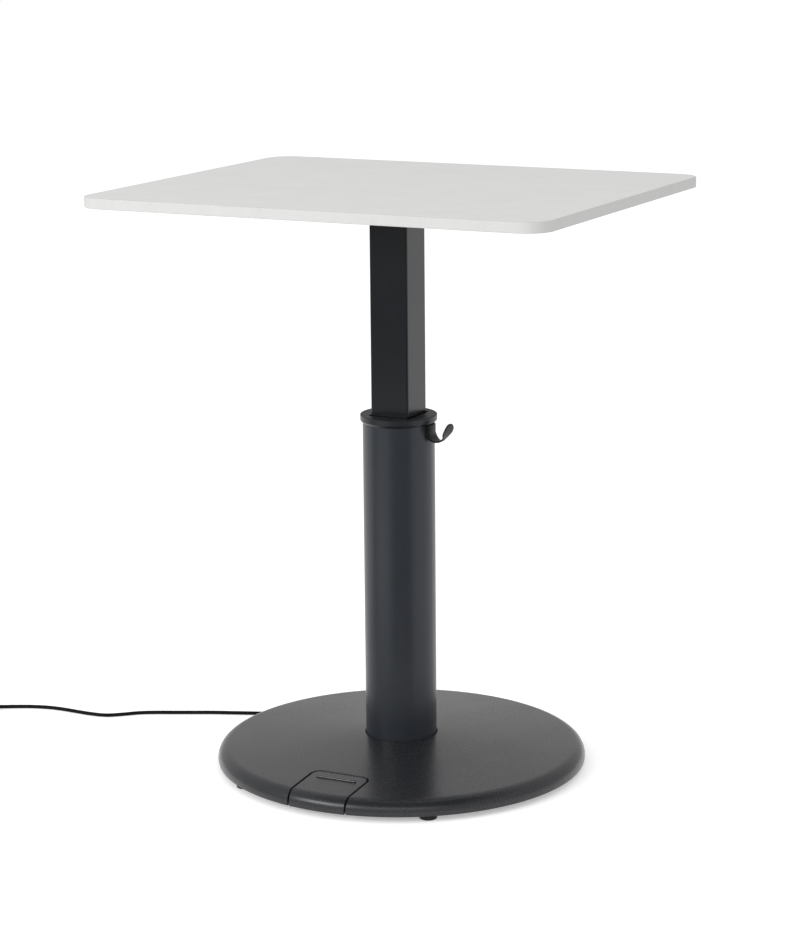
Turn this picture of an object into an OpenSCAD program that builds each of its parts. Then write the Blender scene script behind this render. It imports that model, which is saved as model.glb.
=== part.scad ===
// Height-adjustable pedestal desk with a round base, a foot pedal and a mains cord.
// The origin is on the floor under the column, +Z is up and the pedal is at the front, -Y.
// The desk is drawn at the height that the photograph shows.

/* [Worktop] */
// Width of the worktop, left to right
top_w = 745; // [650:5:900]
// Depth of the worktop, front to back
top_d = 615; // [500:5:700]
// Thickness of the worktop
top_t = 16; // [16:1:25]
// Radius of the worktop's four corners
top_corner_r = 40; // [20:1:70]
// Thickness of the edge band round the board
band_t = 2; // [1:0.5:3]
// Radius that eases the band's upper and lower edges
band_ease_r = 1.5; // [0.5:0.5:2]
// Height of the worktop's surface above the floor
desk_h = 902; // [890:1:915]

/* [Mounting plate] */
// Width of the steel plate under the worktop
plate_w = 250; // [200:10:400]
// Depth of the steel plate under the worktop
plate_d = 200; // [160:10:300]
// Thickness of the steel plate
plate_t = 6; // [4:1:8]
// Radius of the plate's corners
plate_corner_r = 15; // [5:1:25]
// Distance of the plate's screws from its edges
plate_screw_inset = 16; // [12:1:25]
// Thread diameter of the plate's screws
plate_screw_d = 6; // [5:1:8]
// Outer diameter of the threaded inserts in the board
insert_d = 10; // [10:1:12]
// Length of the threaded inserts
insert_l = 12; // [8:1:14]

/* [Lifting tube] */
// Width of the square lifting tube over its flats
inner_w = 63; // [60:1:66]
// Wall of the square lifting tube
inner_wall = 3; // [2:0.5:3.5]
// Outer radius of the square tube's edges
inner_corner_r = 3; // [2:0.5:5]
// Length of the square lifting tube
inner_l = 668; // [640:1:675]
// Length of the plastic slider on the tube's lower end
slider_l = 50; // [35:1:60]
// Clearance of the slider in the round column
slider_gap = 0.3; // [0.2:0.05:0.5]

/* [Column] */
// Outer diameter of the round column
tube_d = 110; // [106:1:116]
// Wall of the round column
tube_wall = 3; // [2:0.5:4]
// Height of the collar's top above the floor
column_h = 555; // [540:5:570]
// How far the collar's lip stands out beyond the column
lip_out = 3.7; // [2:0.1:6]
// Height of the collar's lip
lip_h = 8.6; // [6:0.2:12]
// Height of the taper under the lip
lip_taper_h = 4.4; // [3:0.2:7]
// Radius on the lip's upper edge
lip_edge_r = 1; // [0.5:0.25:2]
// Length of the collar's spigot inside the column
spigot_l = 45; // [35:1:60]
// Clearance of the spigot in the column
spigot_gap = 0.2; // [0.1:0.05:0.4]
// Thickness of the guide pads
pad_t = 2.2; // [1.5:0.1:2.6]
// Running gap between the guide pads and the lifting tube
pad_gap = 0.3; // [0.2:0.05:0.5]
// Width of the guide pads
pad_w = 44; // [30:1:52]

/* [Bag hook] */
// Width of the hook's strap where it lies on the column
hook_w = 32; // [20:1:36]
// Width of the hook's neck, where it starts to rise
hook_neck_w = 12; // [8:1:20]
// Width of the rounded tip
hook_tip_w = 34; // [18:1:36]
// Thickness of the hook's strap
hook_t = 2.5; // [2:0.25:3.5]
// Height of the hook from its lowest point to its upper end
hook_h = 25.8; // [24:1:40]
// Radius of the hook's bend
hook_bend_r = 11; // [8:0.5:13]
// Length of the hook's tip from the bend upwards
hook_rise = 27.5; // [20:0.5:35]

/* [Lift drive] */
// Travel from the drawn height down to the lowest one
lift_down = 175; // [150:5:176]
// Travel from the drawn height up to the highest one
lift_up = 225; // [200:5:226]
// Diameter of the lifting spindle
spindle_d = 16; // [14:1:20]
// Running gap between the spindle and the nut, and round its journal
spindle_gap = 0.05; // [0.03:0.01:0.08]
// Outer diameter of the post that carries the nut
post_d = 34; // [32:1:36]
// Wall of the post
post_wall = 3; // [2:0.5:4]
// Length of the nut
nut_l = 34; // [25:1:40]
// Diameter of the motor
motor_d = 48; // [42:1:52]
// Length of the motor
motor_l = 148; // [120:1:150]
// Diameter of the gearbox
gearbox_d = 50; // [44:1:54]
// Length of the gearbox
gearbox_l = 62; // [50:1:64]
// Outer diameter of the curly lead inside the lifting tube
curl_d = 52; // [48:1:53]
// Diameter of that lead's cable
curl_lead_d = 5; // [4:0.5:6]

/* [Base] */
// Diameter of the round base
base_d = 573; // [540:1:600]
// Height of the base's surface at the column
base_h = 50; // [48:1:54]
// Slope of the base's upper surface in degrees
base_slope = 4.4; // [3.8:0.2:4.6]
// Radius of the base's rounded rim
rim_r = 19; // [16:1:22]
// Gap between the base's rim and the floor
rim_gap = 9; // [8:0.5:10]
// Wall of the casting over its hollow
base_wall = 6; // [5:0.5:7]
// Width of the casting's solid outer ring
ring_w = 56; // [50:1:60]
// Gap round the column where it enters the base
column_gap = 1.2; // [0.8:0.1:2]
// Radius of the casting's hub
hub_r = 88; // [84:1:96]
// Thickness of the column's flange
flange_t = 8; // [6:1:9]
// Diameter of the column's flange
flange_d = 170; // [164:1:174]
// Thread diameter of the flange's bolts
flange_bolt_d = 8; // [6:1:8]
// Thickness of the bottom cover
cover_t = 1.5; // [1:0.25:2]

/* [Foot pedal] */
// Width of the pedal
pedal_w = 93; // [84:0.5:100]
// Distance from the column's axis to the pedal's rear edge
pedal_rear = 197; // [194:1:200]
// Gap round the pedal
pedal_gap = 1.6; // [1.2:0.1:2]
// Radius of the pedal's rear corners
pedal_corner_r = 13; // [8:1:18]
// Wall of the pedal
pedal_wall = 3; // [2.5:0.25:3.5]
// Length of the raised bar on the pedal
bar_l = 66; // [50:1:76]
// Width of the raised bar
bar_w = 5; // [3:0.5:7]
// Height of the raised bar above the pedal
bar_h = 2.4; // [1.5:0.1:3]
// Distance from the column's axis to the raised bar
bar_y = 218; // [215:1:222]
// Diameter of the pedal's pivot pin
pin_d = 6; // [5:0.5:6]
// Distance from the column's axis to the pivot pin
pin_y = 239; // [237:1:241]
// Wire diameter of the pedal's springs
spring_wire_d = 1; // [0.8:0.1:1.2]
// Mean diameter of the pedal's springs
spring_d = 7; // [6:0.5:8]

/* [Levelling glides] */
// Number of glides
glide_n = 5; // [5:1:5]
// Diameter of a glide's foot
glide_d = 27; // [22:1:30]
// Diameter of a glide's threaded stem
stem_d = 8; // [6:1:10]
// Distance of the glides from the column's axis
glide_r = 266; // [262:1:268]

/* [Mains cord] */
// Diameter of the cord
cord_d = 6; // [5:0.5:6.5]
// Turns of the cord in the coil
coil_turns = 8.1; // [8.1:1:10.1]
// Radius of the coil's outermost turn
coil_out_r = 41.2; // [41:0.2:44]
// Distance between neighbouring turns
coil_pitch = 6.6; // [6.6:0.1:7.2]
// Width of the plug
plug_w = 35; // [34:0.5:36]
// Thickness of the plug
plug_t = 13.6; // [13:0.1:14]

/* [Hidden] */
$fn = 64;

// Small overlap that lets a cut run clear of the face that it starts from
cut = 1;

// Heights of the lifting part
board_z = desk_h - top_t;
plate_z = board_z - plate_t;
inner_z = plate_z - inner_l;
mount_h = 14;
motor_z = plate_z - mount_h - motor_l;
gearbox_z = motor_z - gearbox_l;
inner_bore = inner_w - 2 * inner_wall;
drive_fit = 0.3;
screw_head_h = 4;
screw_x = plate_w / 2 - plate_screw_inset;
screw_y = plate_d / 2 - plate_screw_inset;

// Heights of the column
seat_z = column_h - lip_h - lip_taper_h;
tube_r = tube_d / 2;
tube_bore_r = tube_r - tube_wall;
lip_r = tube_r + lip_out;
opening_w = inner_w + 2 * (pad_t + pad_gap);
pad_l = spigot_l - 5;

// Heights of the base
cover_z = rim_gap;
flange_z = rim_gap + 7;
hub_z = flange_z + flange_t;
base_r = base_d / 2;
ring_in_r = base_r - ring_w;
ledge_r = base_r - 44;
cover_r = ledge_r - 0.5;
rim_c = base_r - rim_r;
rib_z = rim_gap + 8;
rib_t = 5;
rib_angles = [0, 30, 60, 90, 118, 195, 222, 318];
flange_bolt_r = 70;
bolt_head_h = 4.4;
bolt_angles = [0 : 60 : 300];
cover_screw_d = 4;
cover_screw_r = (ring_in_r + ledge_r) / 2;
cover_screw_angles = [0, 60, 120, 195, 232, 308];
cover_head_h = 1.5;

// Lift drive inside the column
thrust_h = 4;
thrust_r = spindle_d / 2 + 2;
journal_l = 18;
journal_r = spindle_d / 2 - 2;
nut_top = gearbox_z - thrust_h - lift_down - 1;
nut_flange_h = 4;
spindle_foot = nut_top - nut_l - lift_up - 1;
post_bore_r = post_d / 2 - post_wall;
post_top = nut_top - nut_flange_h;
curl_r = curl_d / 2;
lead_hole_r = (post_d / 2 + curl_r) / 2;

// Places in the pedal's notch, measured down from the casting's rim
bracket_z = rim_gap + 2;
bracket_t = 2;
floor_z = bracket_z + bracket_t;
notch_w = pedal_w + 2 * pedal_gap;
notch_rear = pedal_rear - pedal_gap;
notch_wall_t = 5;
notch_wall_z = rim_gap + 9;
ear_x = pedal_w / 2 - 7.25;
ear_t = 2;
lug_x = ear_x - 3;
lug_t = 5;
pin_z = rim_gap + 10.4;
pin_end_x = ear_x + 1.5;
lug_r = 5.4;
ear_r = 5.4;
pin_gap = 0.05;
bracket_screw_d = 5;
rear_screw_x = 28;
rear_screw_y = notch_rear - 14.4;
rear_boss_r = 7;
tab_screw_x = notch_w / 2 + 8;
tab_screw_y = pin_y + 6;
tab_x = tab_screw_x + 7;
tab_half = 10;
bracket_front = pin_y + 24;
bracket_rear = rear_screw_y - 8;
skirt_z = floor_z + 2.6;
lead_arch_w = 12;
lead_arch_z = floor_z + 8;
travel_x = 18;
switch_l = 20;
switch_d = 6.4;
switch_h = 9;
switch_top = floor_z + switch_h;
plunger_r = 1.5;
plunger_gap = 0.05;
tip_z = switch_top + 1.4;
tip_gap = 0.3;
spring_x = 22;
spring_y = 19;
spring_turns = 4;
spring_seat_z = tip_z + tip_gap;

// Glides
stem_gap = 0.05;
stem_l = 13;
glide_h = rim_gap - 2;
glide_start = -55;
glide_step = 360 / glide_n;

// Mains cord. cord_line is the straight line on which it leaves, seen from above:
// a point on the floor beside the rim, and the heading from there to the control box
cord_r = cord_d / 2;
cord_z = cord_r + 0.05;
exit_at = [-256, 112.5];
exit_heading = -23.7;
relief_l = 35;
relief_tip = 36;
relief_base = relief_tip + relief_l;
relief_tip_z = rim_gap + 1.5;
relief_base_z = rim_gap + 5.5;
relief_base_r = 5.5;
relief_tip_r = cord_r + 1.1;
nose_l = 23;
nose_w = 30;
box_l = 85;
box_w = 90;
box_h = 12;
box_z = cover_z + cover_t;
box_screw_r = 1.5;

// Route of the cord from the strain relief to the coil, on the floor from the fourth point on
cord_route = [
  [-270, 116.5, cord_z + 0.5], [-285, 118, cord_z], [-303, 114, cord_z], [-330, 104, cord_z],
  [-360, 92, cord_z], [-390, 80, cord_z], [-420, 66, cord_z], [-450, 52, cord_z],
  [-478, 39, cord_z], [-500, 26, cord_z], [-519, 9, cord_z], [-541, -7, cord_z],
  [-568, -11.5, cord_z], [-597, -11, cord_z], [-626, -10, cord_z], [-654, -12.5, cord_z],
  [-681, -20.5, cord_z], [-706, -32, cord_z], [-729, -44, cord_z], [-751, -55, cord_z + 0.7]
];
// Coil, wound from its outermost turn on the floor, counter-clockwise from above
coil_at = [-754, -102];
coil_layers = 4;
coil_start = 117.6;
coil_rings = 24;
coil_sides = 6;
coil_z = cord_r + 1.4;
// Route of the tail from the coil's upper end down to the plug
tail_route = [
  [-800, -102, coil_z + 18], [-801, -119, coil_z + 13.5], [-791, -136, 13], [-773, -147.5, 8.5],
  [-752, -155, 6.6], [-732, -163.5, 6.3]
];
plug_tip = [-714, -173];
plug_heading = -28;
plug_boot_l = 24;
plug_body_l = 26;
plug_pin_l = 19;
plug_pin_r = 2;
plug_pin_pitch = 18.6;
tie_w = 10;
tie_t = 1;
tie_angle = 330;

// Height of the base's upper surface at a distance from the column's axis
function cone_z(r) = base_h - (r - tube_r) * tan(base_slope);
// Centre height of the rim's arc, which runs tangent into the cone
rim_z = cone_z(rim_c + rim_r * sin(base_slope)) - rim_r * cos(base_slope);

// Point on the line on which the cord leaves, at a distance in from the rim
function on_exit(s, z) = [
  exit_at[0] + s * cos(exit_heading), exit_at[1] + s * sin(exit_heading), z
];

// Vector helpers
function unit(v) = v / norm(v);
function sum(v, i = 0) = i < len(v) - 1 ? v[i] + sum(v, i + 1) : v[i];

// Catmull-Rom curve through points, with n steps in each stretch
function on_curve(a, b, c, d, t) =
  ((2 * b) + (c - a) * t + (2 * a - 5 * b + 4 * c - d) * t * t + (3 * b - a - 3 * c + d) * t * t * t) / 2;
function smooth(p, n) = [
  for (i = [0 : len(p) - 2], k = [0 : n - 1])
    on_curve(p[max(i - 1, 0)], p[i], p[i + 1], p[min(i + 2, len(p) - 1)], k / n),
  p[len(p) - 1]
];

// Sides of a tube's ring round a point with a heading, turned from a reference direction
function ring(c, t, r, sides, ref) = let (u = unit(cross(t, ref)), v = cross(u, t)) [
  for (j = [0 : sides - 1]) c + r * (u * cos(360 * (j + 0.5) / sides) + v * sin(360 * (j + 0.5) / sides))
];

// Round tube swept along points as one closed polyhedron
module tube_along(p, r, sides, ref = [0, 0, 1]) {
  n = len(p);
  heading = [for (i = [0 : n - 1]) unit(p[min(i + 1, n - 1)] - p[max(i - 1, 0)])];
  rings = [for (i = [0 : n - 1]) each ring(p[i], heading[i], r, sides, ref)];
  walls = [
    for (i = [0 : n - 2], j = [0 : sides - 1])
      let (k = (j + 1) % sides, a = i * sides, b = a + sides)
        each [[a + j, b + j, b + k], [a + j, b + k, a + k]]
  ];
  start = [for (j = [1 : sides - 2]) [0, j, j + 1]];
  stop = [for (j = [1 : sides - 2]) [0, j + 1, j] + [1, 1, 1] * (n - 1) * sides];
  polyhedron(rings, concat(walls, start, stop));
}

// Rectangle with round corners, centred
module round_rect(w, d, r) {
  square([w - 2 * r, d], center = true);
  square([w, d - 2 * r], center = true);
  for (x = [-1, 1], y = [-1, 1])
    translate([x * (w / 2 - r), y * (d / 2 - r)])
      circle(r);
}

// Children at the corners of a rectangle
module at_corners(x, y) {
  for (i = [-1, 1], j = [-1, 1])
    translate([i * x, j * y, 0])
      children();
}

// Children at angles on a circle
module at_angles(r, angles) {
  for (a = angles)
    rotate([0, 0, a])
      translate([r, 0, 0])
        children();
}

// Children drawn along the cord's exit line, with +X from the control box out to the rim
module on_exit_line() {
  translate([exit_at[0], exit_at[1], 0])
    rotate([0, 0, exit_heading + 180])
      children();
}

// Worktop board inside its edge band, with blind holes for the inserts
module worktop() {
  color("white")
    difference() {
      translate([0, 0, board_z])
        linear_extrude(top_t)
          round_rect(top_w - 2 * band_t, top_d - 2 * band_t, top_corner_r - band_t);
      at_corners(screw_x, screw_y)
        translate([0, 0, board_z - cut])
          cylinder(d = insert_d, h = insert_l + cut);
    }
}

// Section of the edge band, with its outer side at x = 0 and eased edges
module band_section() {
  translate([-band_t, 0])
    square([band_t - band_ease_r, top_t]);
  translate([-band_ease_r, band_ease_r])
    square([band_ease_r, top_t - 2 * band_ease_r]);
  intersection() {
    for (z = [band_ease_r, top_t - band_ease_r])
      translate([-band_ease_r, z])
        circle(band_ease_r);
    translate([-band_ease_r, 0])
      square([band_ease_r, top_t]);
  }
}

// Edge band: four straight runs and four quarter turns of one section
module edge_band() {
  run_x = top_w - 2 * top_corner_r;
  run_y = top_d - 2 * top_corner_r;
  color("white")
    translate([0, 0, board_z])
      for (i = [0, 1]) {
        rotate([0, 0, 180 * i])
          translate([top_w / 2, run_y / 2, 0])
            rotate([90, 0, 0])
              linear_extrude(run_y)
                band_section();
        rotate([0, 0, 90 + 180 * i])
          translate([top_d / 2, run_x / 2, 0])
            rotate([90, 0, 0])
              linear_extrude(run_x)
                band_section();
        for (s = [0, 1])
          rotate([0, 0, 180 * i])
            translate([(1 - 2 * s) * run_x / 2, run_y / 2, 0])
              rotate([0, 0, 90 * s])
                rotate_extrude(angle = 90)
                  translate([top_corner_r, 0])
                    band_section();
      }
}

// Threaded inserts in the board's underside
module top_inserts() {
  color("goldenrod")
    at_corners(screw_x, screw_y)
      translate([0, 0, board_z])
        difference() {
          cylinder(d = insert_d, h = insert_l);
          translate([0, 0, -cut])
            cylinder(d = plate_screw_d, h = insert_l);
        }
}

// Steel plate between the lifting tube and the board
module top_plate() {
  color("dimgray")
    difference() {
      translate([0, 0, plate_z])
        linear_extrude(plate_t)
          round_rect(plate_w, plate_d, plate_corner_r);
      at_corners(screw_x, screw_y)
        translate([0, 0, plate_z - cut])
          cylinder(d = plate_screw_d + 1, h = plate_t + 2 * cut);
    }
}

// Screws that hold the board on the plate
module plate_screws() {
  color("silver")
    at_corners(screw_x, screw_y)
      translate([0, 0, plate_z]) {
        cylinder(d = plate_screw_d - 0.1, h = plate_t + insert_l - 3);
        translate([0, 0, -screw_head_h])
          cylinder(d = 2 * plate_screw_d, h = screw_head_h);
      }
}

// Square lifting tube
module inner_tube() {
  bore_r = max(inner_corner_r - inner_wall, 0.5);
  color([0.16, 0.17, 0.19])
    translate([0, 0, inner_z])
      linear_extrude(inner_l)
        difference() {
          round_rect(inner_w, inner_w, inner_corner_r);
          round_rect(inner_bore, inner_bore, bore_r);
        }
}

// Plastic slider on the lower end of the lifting tube
module lower_guide() {
  lip_t = 6;
  color([0.1, 0.1, 0.1])
    difference() {
      translate([0, 0, inner_z - lip_t])
        cylinder(r = tube_bore_r - slider_gap, h = slider_l + lip_t);
      translate([0, 0, inner_z])
        linear_extrude(slider_l + cut)
          round_rect(inner_w, inner_w, inner_corner_r);
      translate([0, 0, inner_z - lip_t - cut])
        cylinder(d = curl_d + 3, h = lip_t + 2 * cut);
    }
}

// Block that seats the motor against the mounting plate
module motor_mount() {
  color("gray")
    translate([0, 0, plate_z - mount_h])
      linear_extrude(mount_h)
        round_rect(inner_bore - drive_fit, inner_bore - drive_fit, 2);
}

// Lifting motor with its end bell
module motor() {
  bell_h = 12;
  color([0.25, 0.25, 0.27]) {
    translate([0, 0, motor_z])
      cylinder(d = motor_d, h = motor_l - bell_h);
    translate([0, 0, motor_z + motor_l - bell_h])
      cylinder(d = motor_d - 4, h = bell_h);
  }
}

// Planetary gearbox with the bore for the spindle's journal
module gearbox() {
  color("gray")
    difference() {
      translate([0, 0, gearbox_z])
        cylinder(d = gearbox_d, h = gearbox_l);
      translate([0, 0, gearbox_z - cut])
        cylinder(r = journal_r + spindle_gap, h = journal_l + 2 + cut);
    }
}

// Plastic ring that centres the gearbox in the square tube
module gearbox_spacer() {
  spacer_h = 20;
  color([0.15, 0.15, 0.15])
    translate([0, 0, gearbox_z + 20])
      linear_extrude(spacer_h)
        difference() {
          round_rect(inner_bore - drive_fit, inner_bore - drive_fit, 2);
          circle(d = gearbox_d);
        }
}

// Lifting spindle with its thrust collar and journal
module spindle() {
  color("silver") {
    translate([0, 0, spindle_foot])
      cylinder(d = spindle_d, h = gearbox_z - thrust_h - spindle_foot);
    translate([0, 0, gearbox_z - thrust_h])
      cylinder(r = thrust_r, h = thrust_h - spindle_gap);
    translate([0, 0, gearbox_z - thrust_h])
      cylinder(r = journal_r, h = thrust_h + journal_l);
  }
}

// Round column
module column_tube() {
  color([0.22, 0.23, 0.25])
    translate([0, 0, hub_z])
      difference() {
        cylinder(r = tube_r, h = seat_z - hub_z, $fn = 128);
        translate([0, 0, -cut])
          cylinder(r = tube_bore_r, h = seat_z - hub_z + 2 * cut, $fn = 128);
      }
}

// Flange under the column, with bolt holes and a hole for the motor's lead
module column_flange() {
  color("dimgray")
    difference() {
      translate([0, 0, flange_z])
        cylinder(d = flange_d, h = flange_t);
      at_angles(flange_bolt_r, bolt_angles)
        translate([0, 0, flange_z - cut])
          cylinder(d = flange_bolt_d + 1, h = flange_t + 2 * cut);
      at_angles(lead_hole_r, [180 + exit_heading])
        translate([0, 0, flange_z - cut])
          cylinder(d = curl_lead_d + 6, h = flange_t + 2 * cut);
    }
}

// Bolts that hold the flange up against the casting's hub
module flange_bolts() {
  color("silver")
    at_angles(flange_bolt_r, bolt_angles)
      translate([0, 0, flange_z]) {
        cylinder(d = flange_bolt_d - 0.1, h = flange_t + 11);
        translate([0, 0, -bolt_head_h])
          cylinder(d = 1.75 * flange_bolt_d, h = bolt_head_h);
      }
}

// Half section of the collar: lip with a round edge, taper, shoulder on the tube and spigot
module collar_section() {
  lip_z = column_h - lip_h;
  difference() {
    union() {
      translate([0, seat_z - spigot_l])
        square([tube_bore_r - spigot_gap, spigot_l + cut]);
      polygon([
        [0, seat_z], [tube_r, seat_z], [lip_r, lip_z], [lip_r, column_h - lip_edge_r],
        [lip_r - lip_edge_r, column_h - lip_edge_r], [lip_r - lip_edge_r, column_h],
        [0, column_h]
      ]);
      translate([lip_r - lip_edge_r, column_h - lip_edge_r])
        circle(lip_edge_r, $fn = 32);
    }
    translate([-tube_d, seat_z - spigot_l])
      square([tube_d, spigot_l + column_h]);
  }
}

// Collar: cap, wiper edge and upper guide of the column
module collar() {
  lead_in = 1.5;
  color([0.14, 0.14, 0.15])
    difference() {
      rotate_extrude($fn = 128)
        collar_section();
      translate([0, 0, seat_z - spigot_l - cut])
        linear_extrude(spigot_l + lip_h + lip_taper_h + 2 * cut)
          round_rect(opening_w, opening_w, inner_corner_r);
      translate([0, 0, column_h - lead_in])
        linear_extrude(lead_in + cut)
          round_rect(opening_w + 2, opening_w + 2, inner_corner_r + 1);
    }
}

// Guide pads, one on each side of the collar's opening
module guide_pads() {
  color("ivory")
    for (a = [0 : 90 : 270])
      rotate([0, 0, a])
        translate([inner_w / 2 + pad_gap, -pad_w / 2, seat_z - spigot_l])
          cube([pad_t, pad_w, pad_l]);
}

// Centre line of the hook's strap from its upper end to its tip, in the XZ plane
hook_top = seat_z - 0.3;
hook_low = hook_top - hook_h;
hook_back = tube_r + hook_t / 2 + 0.15;
hook_neck_lean = 42;
hook_tip_lean = 3;
hook_bend_steps = 10;
hook_rise_steps = 8;
function hook_round(a) = [
  hook_back + hook_bend_r * (1 + cos(a)), hook_low + hook_t / 2 + hook_bend_r * (1 + sin(a))
];
function hook_step(i) =
  let (lean = hook_neck_lean + (hook_tip_lean - hook_neck_lean) * (i - 0.5) / hook_rise_steps)
    hook_rise / hook_rise_steps * [sin(lean), cos(lean)];
hook_line = concat(
  [for (i = [0 : 3]) [hook_back, hook_top + (hook_round(180)[1] - hook_top) * i / 4]],
  [for (i = [0 : hook_bend_steps]) hook_round(180 + (180 - hook_neck_lean) * i / hook_bend_steps)],
  [for (i = [1 : hook_rise_steps])
    hook_round(-hook_neck_lean) + sum([for (k = [1 : i]) hook_step(k)])]
);
// Half width of the strap along its line: strap, narrow neck, round tip
hook_points = len(hook_line);
hook_strap_share = 0.18;
hook_neck_share = 0.64;
hook_wide_share = 0.82;
function blend(a, b, t) = a + (b - a) * (1 - cos(180 * t)) / 2;
function hook_half(i) = let (u = i / (hook_points - 1))
  u < hook_strap_share ? hook_w / 2
  : u < hook_neck_share
    ? blend(hook_w, hook_neck_w, (u - hook_strap_share) / (hook_neck_share - hook_strap_share)) / 2
  : u < hook_wide_share
    ? blend(hook_neck_w, hook_tip_w, (u - hook_neck_share) / (hook_wide_share - hook_neck_share)) / 2
  : hook_tip_w / 2 * sqrt(max(1 - pow((u - hook_wide_share) / (1.005 - hook_wide_share), 2), 0.02));

// Bag hook: a strap of changing width that lies on the round column and turns up to a round tip
module bag_hook() {
  n = hook_points;
  across = [-1, -0.75, -0.4, 0, 0.4, 0.75, 1];
  m = len(across);
  heading = [for (i = [0 : n - 1])
    unit(hook_line[min(i + 1, n - 1)] - hook_line[max(i - 1, 0)])];
  rings = [
    for (i = [0 : n - 1], side = [1, -1], k = [0 : m - 1])
      let (
        y = across[side > 0 ? k : m - 1 - k] * hook_half(i),
        wrap = i < 4 ? 1 : max(1 - (i - 3) / 5, 0),
        out = side * hook_t / 2 * (abs(y) > hook_half(i) * 0.9 ? 0.6 : 1),
        back = wrap * (tube_r - sqrt(tube_r * tube_r - y * y))
      )
        [hook_line[i][0] - heading[i][1] * out - back, y, hook_line[i][1] + heading[i][0] * out]
  ];
  s = 2 * m;
  walls = [
    for (i = [0 : n - 2], j = [0 : s - 1])
      let (k = (j + 1) % s, a = i * s, b = a + s)
        each [[a + j, b + j, b + k], [a + j, b + k, a + k]]
  ];
  start = [for (j = [0 : m - 2], t = [0, 1])
    t == 0 ? [j, j + 1, s - 2 - j] : [j, s - 2 - j, s - 1 - j]];
  stop = [for (f = start) [f[0], f[2], f[1]] + [1, 1, 1] * (n - 1) * s];
  color([0.2, 0.2, 0.21])
    polyhedron(rings, concat(walls, start, stop));
}

// Post that stands on the flange and holds the nut
module nut_post() {
  color("silver")
    translate([0, 0, hub_z])
      difference() {
        cylinder(d = post_d, h = post_top - hub_z);
        translate([0, 0, -cut])
          cylinder(r = post_bore_r, h = post_top - hub_z + 2 * cut);
      }
}

// Flanged plastic nut in the post's upper end
module spindle_nut() {
  color("ivory")
    difference() {
      union() {
        translate([0, 0, nut_top - nut_l])
          cylinder(r = post_bore_r, h = nut_l - nut_flange_h);
        translate([0, 0, post_top])
          cylinder(d = post_d, h = nut_flange_h);
      }
      translate([0, 0, nut_top - nut_l - cut])
        cylinder(r = spindle_d / 2 + spindle_gap, h = nut_l + 2 * cut);
    }
}

// Curly lead from the flange up to the gearbox, as a plain sleeve of its outer size
module coiled_lead() {
  color([0.1, 0.1, 0.1])
    translate([0, 0, hub_z])
      difference() {
        cylinder(r = curl_r, h = gearbox_z - hub_z);
        translate([0, 0, -cut])
          cylinder(r = curl_r - curl_lead_d, h = gearbox_z - hub_z + 2 * cut);
      }
}

// Point beside the exit line's far end, at a distance from the column's axis
function toward_box(r, z) = [-r * cos(exit_heading), -r * sin(exit_heading), z];

// Lead from the control box under the flange to the foot of the curly lead
module motor_lead() {
  low = box_z + curl_lead_d / 2 + 0.1;
  r = lead_hole_r;
  route = [
    on_exit(relief_base + nose_l + box_l, low), toward_box(82, low), toward_box(62, low),
    toward_box(45, low), toward_box(r + 11.5, low), toward_box(r + 6, low + 0.1),
    toward_box(r + 2.1, low + 2.1), toward_box(r + 0.3, low + 5.5), toward_box(r, hub_z - 0.3)
  ];
  color([0.1, 0.1, 0.1])
    tube_along(smooth(route, 3), curl_lead_d / 2, 8, [sin(exit_heading), -cos(exit_heading), 0]);
}

// Outline of the pedal from above, grown by a margin, open at the base's rim
module pedal_outline(grow) {
  w = pedal_w / 2 + grow;
  rear = pedal_rear - grow;
  r = pedal_corner_r + grow;
  translate([-w, -base_r - 20])
    square([2 * w, base_r + 20 - rear - r]);
  translate([-w + r, -rear - r - cut])
    square([2 * (w - r), r + cut]);
  for (x = [-1, 1])
    translate([x * (w - r), -rear - r])
      circle(r);
}

// Half section of the whole base: cone, rounded rim and flat underside
module base_section() {
  tangent_r = rim_c + rim_r * sin(base_slope);
  difference() {
    union() {
      polygon([
        [0, rim_gap], [tangent_r, rim_gap], [tangent_r, cone_z(tangent_r)], [0, cone_z(0)]
      ]);
      translate([rim_c, rim_z])
        circle(rim_r, $fn = 96);
    }
    translate([-cut, rim_gap - 3 * rim_r])
      square([base_r + 2 * cut, 3 * rim_r]);
  }
}

// Half section of the hollow under the base's skin, from a height upwards
module hollow_section(from, over = 0) {
  polygon([
    [hub_r, from], [ring_in_r, from], [ring_in_r, cone_z(ring_in_r) - base_wall + over],
    [hub_r, cone_z(hub_r) - base_wall + over]
  ]);
}

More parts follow.
